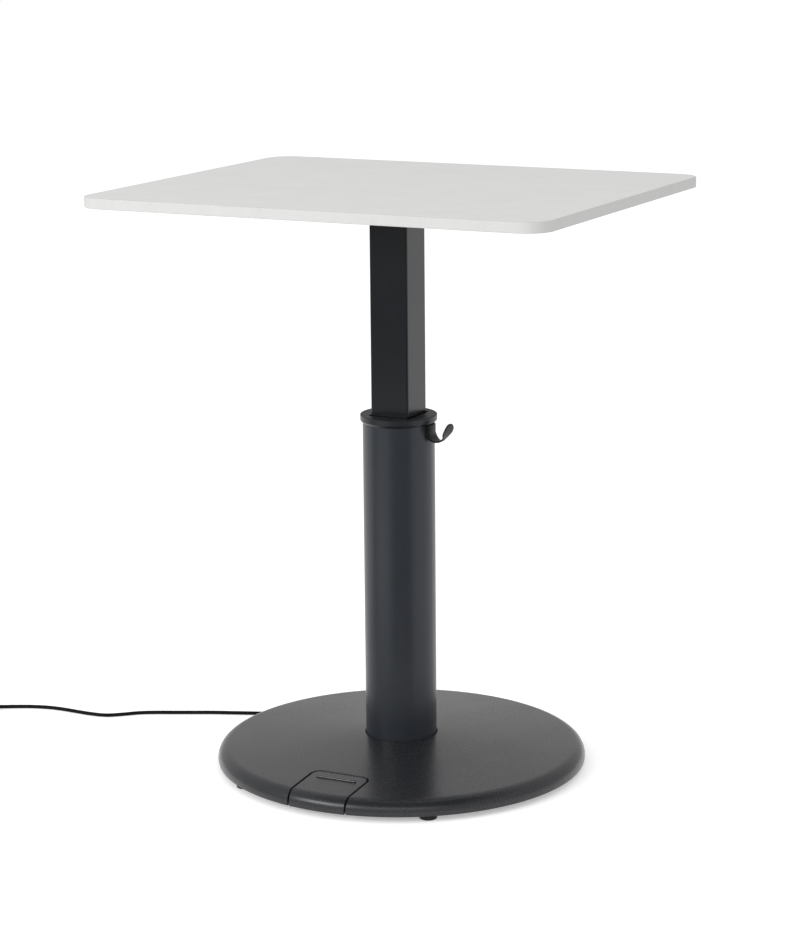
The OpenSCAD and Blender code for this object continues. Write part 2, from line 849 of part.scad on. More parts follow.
// Round cast-iron base with ribs, pedal notch, cord channel and threaded holes
module base_casting() {
  tap = 14;
  color([0.24, 0.25, 0.26])
    difference() {
      union() {
        difference() {
          rotate_extrude($fn = 180)
            difference() {
              base_section();
              hollow_section(rim_gap - cut);
            }
          translate([0, 0, -cut])
            cylinder(r = hub_r, h = hub_z + cut);
        }
        intersection() {
          rotate_extrude()
            hollow_section(rib_z, cut);
          for (a = rib_angles)
            rotate([0, 0, a])
              translate([hub_r - cut, -rib_t / 2, 0])
                cube([base_r - hub_r, rib_t, base_h]);
        }
        intersection() {
          rotate_extrude()
            hollow_section(notch_wall_z, cut);
          linear_extrude(base_h)
            pedal_outline(pedal_gap + notch_wall_t);
        }
        intersection() {
          rotate_extrude()
            hollow_section(floor_z, cut);
          for (x = [-1, 1])
            translate([x * rear_screw_x, -rear_screw_y, 0])
              cylinder(r = rear_boss_r, h = base_h);
        }
      }
      // Hole for the column
      translate([0, 0, hub_z - cut])
        cylinder(r = tube_r + column_gap, h = base_h);
      // Rebate for the bottom cover
      translate([0, 0, rim_gap - cut])
        cylinder(r = ledge_r, h = cover_t + cut);
      // Notch for the pedal, and pockets for the bracket's tabs
      translate([0, 0, -cut])
        linear_extrude(base_h + 2 * cut)
          pedal_outline(pedal_gap);
      translate([-tab_x - 1, -tab_screw_y - tab_half - 1, -cut])
        cube([2 * tab_x + 2, 2 * tab_half + 2, floor_z + cut]);
      // Channel for the cord
      on_exit_line()
        translate([-relief_base, -cord_r - 3.5, -cut])
          cube([relief_base + 22, cord_d + 7, rim_gap + 8.5 + cut]);
      // Threaded holes for the glides, the flange, the cover and the bracket
      at_angles(glide_r, [for (i = [0 : glide_n - 1]) glide_start + i * glide_step])
        translate([0, 0, -cut])
          cylinder(r = stem_d / 2 + stem_gap, h = rim_gap + stem_l + 1.5 + cut);
      at_angles(flange_bolt_r, bolt_angles)
        translate([0, 0, hub_z - cut])
          cylinder(d = flange_bolt_d, h = 12 + cut);
      at_angles(cover_screw_r, cover_screw_angles)
        translate([0, 0, rim_gap - cut])
          cylinder(d = cover_screw_d, h = 9 + cut);
      for (x = [-1, 1]) {
        translate([x * rear_screw_x, -rear_screw_y, -cut])
          cylinder(d = bracket_screw_d, h = floor_z + 9 + cut);
        translate([x * tab_screw_x, -tab_screw_y, -cut])
          cylinder(d = bracket_screw_d, h = floor_z + 8 + cut);
      }
    }
}

// Sheet cover under the hollow, cut away at the pedal and the cord
module bottom_cover() {
  color([0.2, 0.2, 0.2])
    difference() {
      translate([0, 0, cover_z])
        cylinder(r = cover_r, h = cover_t, $fn = 128);
      translate([-tab_x - 2, -base_r, 0])
        cube([2 * tab_x + 4, base_r - bracket_rear + 2, base_h]);
      on_exit_line()
        translate([-relief_base - 2, -8, 0])
          cube([relief_base, 16, base_h]);
      at_angles(cover_screw_r, cover_screw_angles)
        translate([0, 0, cover_z - cut])
          cylinder(d = cover_screw_d + 0.5, h = cover_t + 2 * cut);
      at_box_screws()
        translate([0, 0, cover_z - cut])
          cylinder(r = box_screw_r + 0.25, h = cover_t + 2 * cut);
    }
}

// Screws of the bottom cover
module cover_screws() {
  color("silver")
    at_angles(cover_screw_r, cover_screw_angles)
      translate([0, 0, cover_z]) {
        cylinder(d = cover_screw_d - 0.1, h = 8);
        translate([0, 0, -cover_head_h])
          cylinder(d = 2 * cover_screw_d, h = cover_head_h);
      }
}

// Children at the control box's four screws
module at_box_screws() {
  on_exit_line()
    for (x = [8, box_l - 8], y = [-1, 1])
      translate([-relief_base - nose_l - x, y * (box_w / 2 - 8), 0])
        children();
}

// Flat housing of the power supply and motor controller
module control_box() {
  color([0.12, 0.12, 0.12])
    difference() {
      on_exit_line()
        translate([-relief_base - nose_l, 0, box_z]) {
          translate([-box_l, -box_w / 2, 0])
            cube([box_l, box_w, box_h]);
          translate([-cut, -nose_w / 2, 0])
            cube([nose_l + cut, nose_w, box_h - 2]);
        }
      at_box_screws()
        translate([0, 0, box_z - cut])
          cylinder(r = box_screw_r, h = 7 + cut);
      on_relief_axis()
        cylinder(r = relief_base_r + 0.1, h = relief_base_r);
    }
}

// Screws that hold the control box on the cover
module box_screws() {
  color("silver")
    at_box_screws()
      translate([0, 0, cover_z]) {
        cylinder(r = box_screw_r - 0.05, h = cover_t + 6);
        translate([0, 0, -cover_head_h])
          cylinder(r = 2 * box_screw_r, h = cover_head_h);
      }
}

// Lead from the foot switches to the control box
module switch_lead() {
  lead_r = 1.75;
  low = box_z + lead_r + 0.2;
  start = [0, -pin_y + travel_x + switch_d / 2, floor_z + lead_r + 0.3];
  to_side = [sin(exit_heading), -cos(exit_heading), 0];
  box_side = on_exit(relief_base + nose_l + 50, low) + to_side * box_w / 2;
  route = [
    start, start + [0, 8, 0], [-3, -notch_rear - 4, floor_z + lead_r + 0.3],
    [-6, -rear_screw_y, floor_z + lead_r + 0.2], [-12, -bracket_rear + 6, floor_z + lead_r],
    [-34, -142, low + 0.8], [-70, -118, low], [-104, -84, low], [-130, -48, low], [-146, -16, low],
    box_side + to_side * 12, box_side
  ];
  color([0.1, 0.1, 0.1])
    tube_along(smooth(route, 2), lead_r, 8);
}

// Pressed bracket under the pedal: floor with tabs, and two ears for the pin
module pedal_bracket() {
  half_w = ear_x + ear_t;
  color("dimgray")
    difference() {
      union() {
        translate([-half_w, -bracket_front, bracket_z])
          cube([2 * half_w, bracket_front - bracket_rear, bracket_t]);
        translate([-tab_x, -tab_screw_y - tab_half, bracket_z])
          cube([2 * tab_x, 2 * tab_half, bracket_t]);
        for (x = [-1, 1])
          translate([x * (ear_x + ear_t / 2) - ear_t / 2, -pin_y, 0]) {
            translate([0, -ear_r, floor_z])
              cube([ear_t, 2 * ear_r, pin_z - floor_z]);
            translate([0, 0, pin_z])
              rotate([0, 90, 0])
                cylinder(r = ear_r, h = ear_t);
          }
      }
      translate([-half_w - cut, -pin_y, pin_z])
        rotate([0, 90, 0])
          cylinder(d = pin_d, h = 2 * half_w + 2 * cut);
      for (x = [-1, 1]) {
        translate([x * rear_screw_x, -rear_screw_y, bracket_z - cut])
          cylinder(d = bracket_screw_d + 0.5, h = bracket_t + 2 * cut);
        translate([x * tab_screw_x, -tab_screw_y, bracket_z - cut])
          cylinder(d = bracket_screw_d + 0.5, h = bracket_t + 2 * cut);
      }
    }
}

// Screws of the bracket, two behind the pedal and one in each tab
module bracket_screws() {
  head_h = 3;
  color("silver")
    for (x = [-1, 1], p = [[rear_screw_x, -rear_screw_y], [tab_screw_x, -tab_screw_y]])
      translate([x * p[0], p[1], bracket_z]) {
        cylinder(d = bracket_screw_d - 0.1, h = bracket_t + 7);
        translate([0, 0, -head_h])
          cylinder(d = 1.8 * bracket_screw_d, h = head_h);
      }
}

// Pivot pin of the pedal, held in the bracket's ears
module pedal_pin() {
  color("silver")
    translate([-pin_end_x, -pin_y, pin_z])
      rotate([0, 90, 0])
        cylinder(d = pin_d, h = 2 * pin_end_x);
}

// Pedal: a shell with the base's own cone and rim, a skirt, two lugs and two pads for the plungers
module pedal() {
  lug_top = cone_z(pin_y) - 1.5;
  color([0.24, 0.25, 0.26])
    difference() {
      union() {
        difference() {
          intersection() {
            rotate_extrude($fn = 180)
              base_section();
            translate([0, 0, rim_gap])
              linear_extrude(base_h)
                pedal_outline(0);
          }
          intersection() {
            translate([0, 0, -pedal_wall])
              rotate_extrude($fn = 180)
                difference() {
                  base_section();
                  translate([base_r - 2 * pedal_wall - 2, -base_h])
                    square([base_r, 3 * base_h]);
                }
            linear_extrude(base_h)
              pedal_outline(-pedal_wall);
          }
          // The skirt ends above the bracket, except at the rim
          translate([0, 0, skirt_z - base_h])
            linear_extrude(base_h)
              difference() {
                pedal_outline(1);
                translate([-base_r, -2 * base_r])
                  square([2 * base_r, 2 * base_r - bracket_front - 4]);
              }
          // Arch in the rear skirt for the switches' lead
          translate([-lead_arch_w / 2 - 2, -pedal_rear - pedal_wall - cut, 0])
            cube([lead_arch_w, pedal_wall + 2 * cut, lead_arch_z]);
        }
        intersection() {
          union() {
            for (x = [-1, 1])
              translate([x * (lug_x - lug_t / 2) - lug_t / 2, -pin_y, 0]) {
                translate([0, -lug_r, pin_z])
                  cube([lug_t, 2 * lug_r, base_h]);
                translate([0, 0, pin_z])
                  rotate([0, 90, 0])
                    cylinder(r = lug_r, h = lug_t);
              }
            for (y = [-1, 1])
              translate([0, -pin_y + y * travel_x, spring_seat_z])
                cylinder(r = 3, h = base_h);
          }
          translate([0, 0, -pedal_wall / 2])
            rotate_extrude($fn = 180)
              base_section();
        }
      }
      translate([-pedal_w, -pin_y, pin_z])
        rotate([0, 90, 0])
          cylinder(d = pin_d + 2 * pin_gap, h = 2 * pedal_w);
      bar_place()
        cube([bar_l, bar_w, 2], center = true);
    }
}

// Children centred on the pedal's surface at the raised bar, tilted with the cone
module bar_place() {
  translate([0, -bar_y, cone_z(bar_y)])
    rotate([base_slope, 0, 0])
      children();
}

// Raised bar that the foot can feel, seated in a shallow groove
module tactile_bar() {
  color([0.45, 0.45, 0.46])
    bar_place()
      translate([0, 0, bar_h / 2 - 0.5])
        rotate([0, 90, 0])
          linear_extrude(bar_l, center = true)
            round_rect(bar_h + 1, bar_w, min(bar_w, bar_h + 1) * 0.3);
}

// One coil spring with its wire's ends cut square
module coil_spring(h) {
  steps = 8 * spring_turns;
  rise = h - spring_wire_d;
  path = [for (i = [0 : steps]) [
    spring_d / 2 * cos(360 * i / 8), spring_d / 2 * sin(360 * i / 8),
    spring_wire_d / 2 + rise * i / steps
  ]];
  tube_along(path, spring_wire_d / 2, 6);
}

// Four springs between the bracket's floor and the pedal's underside
module pedal_springs() {
  color("silver")
    for (x = [-1, 1], y = [-1, 1])
      let (
        place = [x * spring_x, -pin_y + y * spring_y],
        top = cone_z(norm(place) + spring_d) - pedal_wall - 0.3
      )
        translate([place[0], place[1], floor_z])
          coil_spring(top - floor_z);
}

// Housing of one foot switch, with the bore for its plunger
module switch_body(y) {
  color([0.1, 0.1, 0.1])
    difference() {
      translate([-switch_l / 2, y - switch_d / 2, floor_z])
        cube([switch_l, switch_d, switch_h]);
      translate([0, y, floor_z + 1.5])
        cylinder(r = plunger_r + plunger_gap, h = switch_h);
    }
}

// Plunger of one foot switch
module plunger(y) {
  color("red")
    translate([0, y, floor_z + 3])
      cylinder(r = plunger_r, h = tip_z - floor_z - 3);
}

module front_switch() { switch_body(-pin_y - travel_x); }
module rear_switch() { switch_body(-pin_y + travel_x); }
module front_plunger() { plunger(-pin_y - travel_x); }
module rear_plunger() { plunger(-pin_y + travel_x); }

// Levelling glide: domed foot, hexagon for the spanner and threaded stem
module glide(i) {
  edge = 2;
  r = glide_d / 2;
  color([0.08, 0.08, 0.08])
    at_angles(glide_r, [glide_start + i * glide_step]) {
      rotate_extrude()
        union() {
          square([r - edge, glide_h]);
          translate([0, edge])
            square([r, glide_h - 2 * edge]);
          for (z = [edge, glide_h - edge])
            translate([r - edge, z])
              circle(edge, $fn = 32);
        }
      translate([0, 0, glide_h - cut])
        cylinder(r = 7.5, h = rim_gap - glide_h + cut - 0.3, $fn = 6);
      cylinder(d = stem_d, h = rim_gap + stem_l);
    }
}
module glide_1() { glide(0); }
module glide_2() { glide(1); }
module glide_3() { glide(2); }
module glide_4() { glide(3); }
module glide_5() { glide(4); }

// Ends and headings of the strain relief
relief_in = on_exit(relief_base, relief_base_z);
relief_out = on_exit(relief_tip, relief_tip_z);
relief_dip = atan((relief_base_z - relief_tip_z) / relief_l);

// Children on the strain relief's axis, outwards from its inner end
module on_relief_axis() {
  translate(relief_in)
    rotate([0, 0, exit_heading + 180])
      rotate([0, 90 + relief_dip, 0])
        children();
}

// Tapered strain relief with grooves, on the cord's way out of the control box
module strain_relief() {
  color([0.08, 0.08, 0.08])
    on_relief_axis()
      rotate_extrude()
        relief_section();
}

// Half section of the strain relief: flange, and a taper in steps
module relief_section() {
  len = norm(relief_in - relief_out);
  ribs = 6;
  flange = 4;
  step = (len - flange) / ribs;
  square([relief_base_r, flange]);
  for (i = [0 : ribs - 1])
    let (r = relief_base_r - 0.6 - (relief_base_r - 0.6 - relief_tip_r) * i / (ribs - 1)) {
      translate([0, flange + i * step - 0.1])
        square([r, step * 0.7 + 0.1]);
      translate([0, flange + (i + 0.7) * step - 0.1])
        square([r - 0.7, step * 0.3 + 0.1]);
    }
}

// Radius and height of the cord's centre line in the coil after a share of its turns.
// The radius falls and rises evenly, and each climb fills the half turn round a reversal.
layer_turns = coil_turns / coil_layers;
function coil_r(n) = let (k = floor(n / layer_turns), m = n / layer_turns - k)
  coil_out_r - coil_pitch * layer_turns * (k % 2 == 0 ? m : 1 - m);
function coil_h(n) = let (
    k = max(1, min(coil_layers - 1, round(n / layer_turns))),
    climb = (n - k * layer_turns) / 0.5 + 0.5
  )
  coil_z + coil_pitch * (k - 1 + max(0, min(1, climb)));
function coil_point(n) = let (a = coil_start + 360 * n)
  [coil_at[0] + coil_r(n) * cos(a), coil_at[1] + coil_r(n) * sin(a), coil_h(n)];
coil_steps = round(coil_turns * coil_rings);
coil_path = [for (i = [0 : coil_steps]) coil_point(coil_turns * i / coil_steps)];
coil_in = coil_path[0] - cord_d * [-sin(coil_start), cos(coil_start), 0];
coil_end_angle = coil_start + 360 * coil_turns;
coil_out = coil_path[coil_steps] + cord_d * [-sin(coil_end_angle), cos(coil_end_angle), 0];

// Least gap between two turns, measured on the centre line half a turn or more apart
coil_least = min([
  for (i = [0 : coil_steps - coil_rings / 2], j = [i + coil_rings / 2 : coil_steps])
    norm(coil_path[i] - coil_path[j]) - cord_d
]);

// Route of the cord, from the strain relief to the coil
cord_path = smooth(concat(
  [relief_out, on_exit(relief_tip - 18, relief_tip_z - 2.9), on_exit(0, cord_z + 1.5)],
  cord_route,
  [coil_in]
), 2);
tail_end = [plug_tip[0], plug_tip[1], plug_t / 2];
tail_path = smooth(concat([coil_out], tail_route, [tail_end]), 2);
function run(p) = sum([for (i = [1 : len(p) - 1]) norm(p[i] - p[i - 1])]);

module power_cord() {
  color([0.08, 0.08, 0.08])
    tube_along(cord_path, cord_r, 10);
}

// Coil of the length that lies put away, as one tube
module cord_coil() {
  echo(coil_least_gap = coil_least);
  echo(cord_lengths = [run(cord_path), run(coil_path) + 2 * cord_d, run(tail_path)]);
  color([0.08, 0.08, 0.08])
    tube_along(concat([coil_in], coil_path, [coil_out]), cord_r, coil_sides);
}

module cord_tail() {
  color([0.08, 0.08, 0.08])
    tube_along(tail_path, cord_r, 10);
}

// Band round the coil's bundle of turns
module cord_tie() {
  clear = 0.6;
  low = tie_t + 0.1;
  bundle_in = coil_out_r - coil_pitch * layer_turns - cord_r - clear - 0.4;
  bundle_out = coil_out_r + cord_r + clear;
  top = coil_z + coil_pitch * (coil_layers - 1) + cord_r + 0.3;
  color([0.2, 0.2, 0.2])
    translate([coil_at[0], coil_at[1], 0])
      rotate([0, 0, tie_angle])
        translate([0, tie_w / 2, 0])
          rotate([90, 0, 0])
            linear_extrude(tie_w)
              difference() {
                translate([bundle_in - tie_t, low - tie_t])
                  square([bundle_out - bundle_in + 2 * tie_t, top - low + 2 * tie_t]);
                translate([bundle_in, low])
                  square([bundle_out - bundle_in, top - low]);
              }
}

// Children at the plug, with +X from the cord's end out to the pins
module at_plug() {
  translate([plug_tip[0], plug_tip[1], plug_t / 2])
    rotate([0, 0, plug_heading])
      children();
}

// Flat two-pin plug with its tapered boot
module plug() {
  grip_w = plug_w * 0.62;
  boot_r = cord_r + 2.6;
  color([0.08, 0.08, 0.08])
    at_plug() {
      translate([plug_boot_l, 0, -plug_t / 2])
        linear_extrude(plug_t)
          polygon([
            [-2, -boot_r], [5, -grip_w / 2], [12, -grip_w / 2], [19, -plug_w / 2],
            [plug_body_l, -plug_w / 2], [plug_body_l, plug_w / 2], [19, plug_w / 2],
            [12, grip_w / 2], [5, grip_w / 2], [-2, boot_r]
          ]);
      rotate([0, 90, 0])
        cylinder(r1 = cord_r + 0.6, r2 = boot_r, h = plug_boot_l);
    }
}

// Two round pins with domed ends
module plug_pins() {
  color("silver")
    at_plug()
      for (y = [-1, 1])
        translate([plug_boot_l + plug_body_l, y * plug_pin_pitch / 2, 0]) {
          rotate([0, 90, 0])
            cylinder(r = plug_pin_r, h = plug_pin_l - plug_pin_r);
          translate([plug_pin_l - plug_pin_r, 0, 0])
            sphere(plug_pin_r, $fn = 32);
        }
}

worktop();
edge_band();
top_inserts();
top_plate();
plate_screws();
inner_tube();
lower_guide();
motor_mount();
motor();
gearbox();
gearbox_spacer();
spindle();
column_tube();
column_flange();
flange_bolts();
collar();
guide_pads();
bag_hook();
nut_post();
spindle_nut();
coiled_lead();
motor_lead();
base_casting();
bottom_cover();
cover_screws();
control_box();
box_screws();
switch_lead();
pedal_bracket();
bracket_screws();
pedal_pin();
pedal();
tactile_bar();
pedal_springs();
front_switch();
rear_switch();
front_plunger();
rear_plunger();
glide_1();
glide_2();
glide_3();
glide_4();
glide_5();
strain_relief();
power_cord();
cord_coil();
cord_tie();
cord_tail();
plug();
plug_pins();
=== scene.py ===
"""Looks of the pedestal desk: materials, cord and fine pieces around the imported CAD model."""

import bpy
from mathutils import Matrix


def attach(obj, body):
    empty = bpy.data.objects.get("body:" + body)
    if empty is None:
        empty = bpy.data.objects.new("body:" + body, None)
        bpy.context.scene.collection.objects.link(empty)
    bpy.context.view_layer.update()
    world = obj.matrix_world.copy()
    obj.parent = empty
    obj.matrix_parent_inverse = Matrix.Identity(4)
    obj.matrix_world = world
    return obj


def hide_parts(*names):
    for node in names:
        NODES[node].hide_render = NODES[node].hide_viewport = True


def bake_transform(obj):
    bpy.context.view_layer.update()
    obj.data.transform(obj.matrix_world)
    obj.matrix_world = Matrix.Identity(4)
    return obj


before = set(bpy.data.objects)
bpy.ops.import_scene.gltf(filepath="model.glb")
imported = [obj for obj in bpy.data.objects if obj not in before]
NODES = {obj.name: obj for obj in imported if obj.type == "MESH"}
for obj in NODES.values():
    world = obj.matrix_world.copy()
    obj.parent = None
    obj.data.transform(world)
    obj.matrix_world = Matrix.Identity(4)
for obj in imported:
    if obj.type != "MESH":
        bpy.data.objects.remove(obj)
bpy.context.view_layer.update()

import math

import bmesh
import bpy
import numpy as np
from mathutils import Matrix, Vector

MM = 0.001

# Camera, fitted to the desk's edges in the photograph, whose frame is 800 x 944
VIEW_LONG_SIDE_PX = 944
VIEW_FOCAL_PX = 2742.37
VIEW_SENSOR_MM = 36
VIEW_TURN = math.radians(26.72)
VIEW_DIP = math.radians(12.70)
VIEW_ROLL = math.radians(-0.51)
VIEW_DISTANCE = 4.19452
VIEW_TARGET = (0.00125, 0.46343)

# Cord: the same route as the CAD's, in metres
CORD_D = 0.006
CORD_Z = 0.00305
CORD_STEP = 0.0042
EXIT_AT = (-0.256, 0.1125)
EXIT_HEADING = math.radians(-23.7)
RELIEF_L = 0.035
RELIEF_TIP = 0.036
RELIEF_TIP_Z = 0.0105
EXIT_HALFWAY_Z = RELIEF_TIP_Z - 0.0029
EXIT_END_Z = CORD_Z + 0.0015
CORD_ROUTE = [
    (-0.270, 0.1165, CORD_Z + 0.0005), (-0.285, 0.118, CORD_Z), (-0.303, 0.114, CORD_Z),
    (-0.330, 0.104, CORD_Z), (-0.360, 0.092, CORD_Z), (-0.390, 0.080, CORD_Z),
    (-0.420, 0.066, CORD_Z), (-0.450, 0.052, CORD_Z), (-0.478, 0.039, CORD_Z),
    (-0.500, 0.026, CORD_Z), (-0.519, 0.009, CORD_Z), (-0.541, -0.007, CORD_Z),
    (-0.568, -0.0115, CORD_Z), (-0.597, -0.011, CORD_Z), (-0.626, -0.010, CORD_Z),
    (-0.654, -0.0125, CORD_Z), (-0.681, -0.0205, CORD_Z), (-0.706, -0.032, CORD_Z),
    (-0.729, -0.044, CORD_Z), (-0.751, -0.055, CORD_Z + 0.0007),
]
COIL_AT = (-0.754, -0.102)
COIL_TURNS = 8.1
COIL_LAYERS = 4
COIL_OUT_R = 0.0412
COIL_PITCH = 0.0066
COIL_START = math.radians(117.6)
COIL_RINGS = 40
COIL_Z = CORD_D / 2 + 0.0014
TAIL_ROUTE = [
    (-0.800, -0.102, COIL_Z + 0.018), (-0.801, -0.119, COIL_Z + 0.0135), (-0.791, -0.136, 0.013),
    (-0.773, -0.1475, 0.0085), (-0.752, -0.155, 0.0066), (-0.732, -0.1635, 0.0063),
]
PLUG_TIP = (-0.714, -0.173)
PLUG_HEADING = math.radians(-28)
PLUG_T = 0.0136


# Mesh makers

def add_object(name, data):
    """New object that holds the data, linked to the scene."""
    made = bpy.data.objects.new(name, data)
    bpy.context.scene.collection.objects.link(made)
    return made


def mesh_piece(name, points, faces, smooth=True, uv=None):
    """Object at the origin from an array of points and a list of faces, in metres."""
    mesh = bpy.data.meshes.new(name)
    mesh.from_pydata(np.asarray(points, float).tolist(), [], [list(f) for f in faces])
    mesh.update()
    if uv is not None:
        layer = mesh.uv_layers.new(name="UVMap")
        corners = np.zeros(len(mesh.loops), np.int64)
        mesh.loops.foreach_get("vertex_index", corners)
        layer.data.foreach_set("uv", np.asarray(uv, float)[corners].astype(np.float32).ravel())
    mesh.polygons.foreach_set("use_smooth", np.full(len(mesh.polygons), smooth))
    return add_object(name, mesh)


def grid_faces(rows, sides, ring=False):
    """Quads between neighbouring rows of a rows x sides grid whose sides close on themselves. In a
    ring the last row joins the first, and otherwise a flat face closes each end."""
    i, j = np.meshgrid(np.arange(rows if ring else rows - 1), np.arange(sides), indexing="ij")
    k, n = (j + 1) % sides, (i + 1) % rows
    quads = np.stack([i * sides + j, i * sides + k, n * sides + k, n * sides + j], -1)
    faces = quads.reshape(-1, 4).tolist()
    if not ring:
        faces.append(list(range(sides))[::-1])
        faces.append(list(range((rows - 1) * sides, rows * sides)))
    return faces


def grid_piece(name, points, ring=False, uv=None):
    """Piece from a grid of points: rows along it, sides round it."""
    rows, sides = points.shape[:2]
    return mesh_piece(name, points.reshape(-1, 3), grid_faces(rows, sides, ring), uv=uv)


def signed_power(values, power):
    """Powers of the sizes of the values, with the values' signs: the sides of a superellipse."""
    return np.sign(values) * np.abs(values) ** power


def unit(vectors):
    """The rows scaled to length one."""
    return vectors / np.linalg.norm(vectors, axis=1)[:, None]


def run_along(path):
    """Length of a path up to each of its points."""
    return np.concatenate([[0], np.cumsum(np.linalg.norm(np.diff(path, axis=0), axis=1))])


def frames_along(path):
    """Heading and two cross directions at each point of a path: the first cross direction is kept
    as near as possible to the one before it, so that the tube doesn't twist."""
    heading = unit(np.gradient(path, axis=0))
    side = np.zeros_like(path)
    seed = np.array([0.0, 0.0, 1.0]) if abs(heading[0][2]) < 0.9 else np.array([1.0, 0.0, 0.0])
    for i, h in enumerate(heading):
        seed = seed - (seed @ h) * h
        seed /= np.linalg.norm(seed)
        side[i] = seed
    return heading, side, np.cross(heading, side)


def tube(name, path, radius, sides=12):
    """Round tube: ring i lies across the path at point i, as path + r (cos a side + sin a up).
    Its UV map holds the length along the path and round it, in metres."""
    path = np.asarray(path, float)
    radius = np.broadcast_to(np.asarray(radius, float), (len(path),))
    heading, side, up = frames_along(path)
    a = np.linspace(0, 2 * math.pi, sides, endpoint=False)
    ring = np.cos(a)[None, :, None] * side[:, None] + np.sin(a)[None, :, None] * up[:, None]
    points = path[:, None] + radius[:, None, None] * ring
    run = run_along(path)
    uv = np.stack(np.broadcast_arrays(run[:, None], a[None] * radius.max()), -1).reshape(-1, 2)
    return grid_piece(name, points, uv=uv)


def smooth_path(points, steps):
    """Catmull-Rom curve through the points, with a number of steps in each stretch."""
    p = np.asarray(points, float)
    a, b = np.vstack([p[:1], p[:-2]]), p[:-1]
    c, d = p[1:], np.vstack([p[2:], p[-1:]])
    t = np.linspace(0, 1, steps, endpoint=False)[None, :, None]
    a, b, c, d = (x[:, None] for x in (a, b, c, d))
    curve = (2 * b + (c - a) * t + (2 * a - 5 * b + 4 * c - d) * t**2 + (3 * b - a - 3 * c + d) * t**3) / 2
    return np.vstack([curve.reshape(-1, 3), p[-1:]])


def even_path(path, step):
    """The same path with its points a step apart."""
    run = run_along(path)
    at = np.linspace(0, run[-1], int(round(run[-1] / step)) + 1)
    return np.stack([np.interp(at, run, path[:, i]) for i in range(3)], -1)


# Camera

def make_camera():
    """Camera at the fitted place, looking at a point over the column's axis."""
    back = Vector((math.sin(VIEW_TURN) * math.cos(VIEW_DIP),
                   -math.cos(VIEW_TURN) * math.cos(VIEW_DIP), math.sin(VIEW_DIP)))
    right = Vector((math.cos(VIEW_TURN), math.sin(VIEW_TURN), 0))
    up = back.cross(right)
    rolled_right = math.cos(VIEW_ROLL) * right + math.sin(VIEW_ROLL) * up
    rolled_up = math.cos(VIEW_ROLL) * up - math.sin(VIEW_ROLL) * right
    place = right * VIEW_TARGET[0] + Vector((0, 0, VIEW_TARGET[1])) + back * VIEW_DISTANCE
    data = bpy.data.cameras.new("photo_view")
    data.sensor_width = VIEW_SENSOR_MM
    data.lens = VIEW_SENSOR_MM * VIEW_FOCAL_PX / VIEW_LONG_SIDE_PX
    data.clip_end = 100
    camera = add_object("photo_view", data)
    turn = Matrix((rolled_right, rolled_up, back)).transposed().to_4x4()
    camera.matrix_world = Matrix.Translation(place) @ turn
    bpy.context.scene.camera = camera


# Cord

def on_exit(inwards, z):
    """Point on the cord's straight exit line, at a distance in from the rim."""
    return (EXIT_AT[0] + inwards * math.cos(EXIT_HEADING),
            EXIT_AT[1] + inwards * math.sin(EXIT_HEADING), z)


def coil_path():
    """Coil wound from its outermost turn, in layers of equal turns. With n turns done and s the share
    of the layer, radius = out - pitch * layer * (s, or 1 - s in every second layer). The climb to the
    next layer, one pitch, fills the half turn round a reversal."""
    n = np.linspace(0, COIL_TURNS, int(round(COIL_TURNS * COIL_RINGS)) + 1)
    layer = COIL_TURNS / COIL_LAYERS
    share = n / layer - np.floor(n / layer)
    radius = COIL_OUT_R - COIL_PITCH * layer * np.where(np.floor(n / layer) % 2 == 0, share, 1 - share)
    k = np.clip(np.round(n / layer), 1, COIL_LAYERS - 1)
    z = COIL_Z + COIL_PITCH * (k - 1 + np.clip((n - k * layer) / 0.5 + 0.5, 0, 1))
    a = COIL_START + 2 * math.pi * n
    return np.stack([COIL_AT[0] + radius * np.cos(a), COIL_AT[1] + radius * np.sin(a), z], -1)


def cord_path():
    """Whole centre line from the strain relief to the plug: exit, floor, coil and tail."""
    out = [on_exit(RELIEF_TIP, RELIEF_TIP_Z), on_exit(RELIEF_TIP / 2, EXIT_HALFWAY_Z),
           on_exit(0, EXIT_END_Z)]
    coil = coil_path()
    start, stop = COIL_START, COIL_START + 2 * math.pi * COIL_TURNS
    into = coil[0] - CORD_D * np.array([-math.sin(start), math.cos(start), 0])
    leave = coil[-1] + CORD_D * np.array([-math.sin(stop), math.cos(stop), 0])
    end = (*PLUG_TIP, PLUG_T / 2)
    # Each curve runs two stretches into the coil, which are cut off again
    steps, extra = 6, 12
    lay = smooth_path([*out, *CORD_ROUTE, into, coil[0], coil[2]], steps)[:-extra]
    tail = smooth_path([coil[-3], coil[-1], leave, *TAIL_ROUTE, end], steps)[extra:]
    return np.vstack([lay[:-1], [into], coil, tail[:-1], [end]])


make_camera()
cord_line = even_path(cord_path(), CORD_STEP)
cord = tube("mains_cord", cord_line, CORD_D / 2)
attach(cord, "base")
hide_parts("power_cord", "cord_coil", "cord_tail")


# Column and bag hook. The hook is the CAD's strap with a round edge all the way. Sizes are in metres,
# and the shares run along the strap, from its upper end to its tip

TUBE_R = 0.055
COLLAR_TOP = 0.555
HOOK_TOP = 0.5417
HOOK_LOW = HOOK_TOP - 0.0258
HOOK_BEND_R = 0.011
HOOK_T = 0.0025
HOOK_BACK = TUBE_R + HOOK_T / 2 + 0.00015
HOOK_RISE = 0.0275
HOOK_W, HOOK_NECK_W, HOOK_TIP_W = 0.032, 0.012, 0.034
HOOK_NECK_LEAN, HOOK_TIP_LEAN = math.radians(42), math.radians(3)
HOOK_STRAP_SHARE, HOOK_NECK_SHARE, HOOK_WIDE_SHARE = 0.18, 0.64, 0.82
HOOK_TIP_SHARE = 1.002
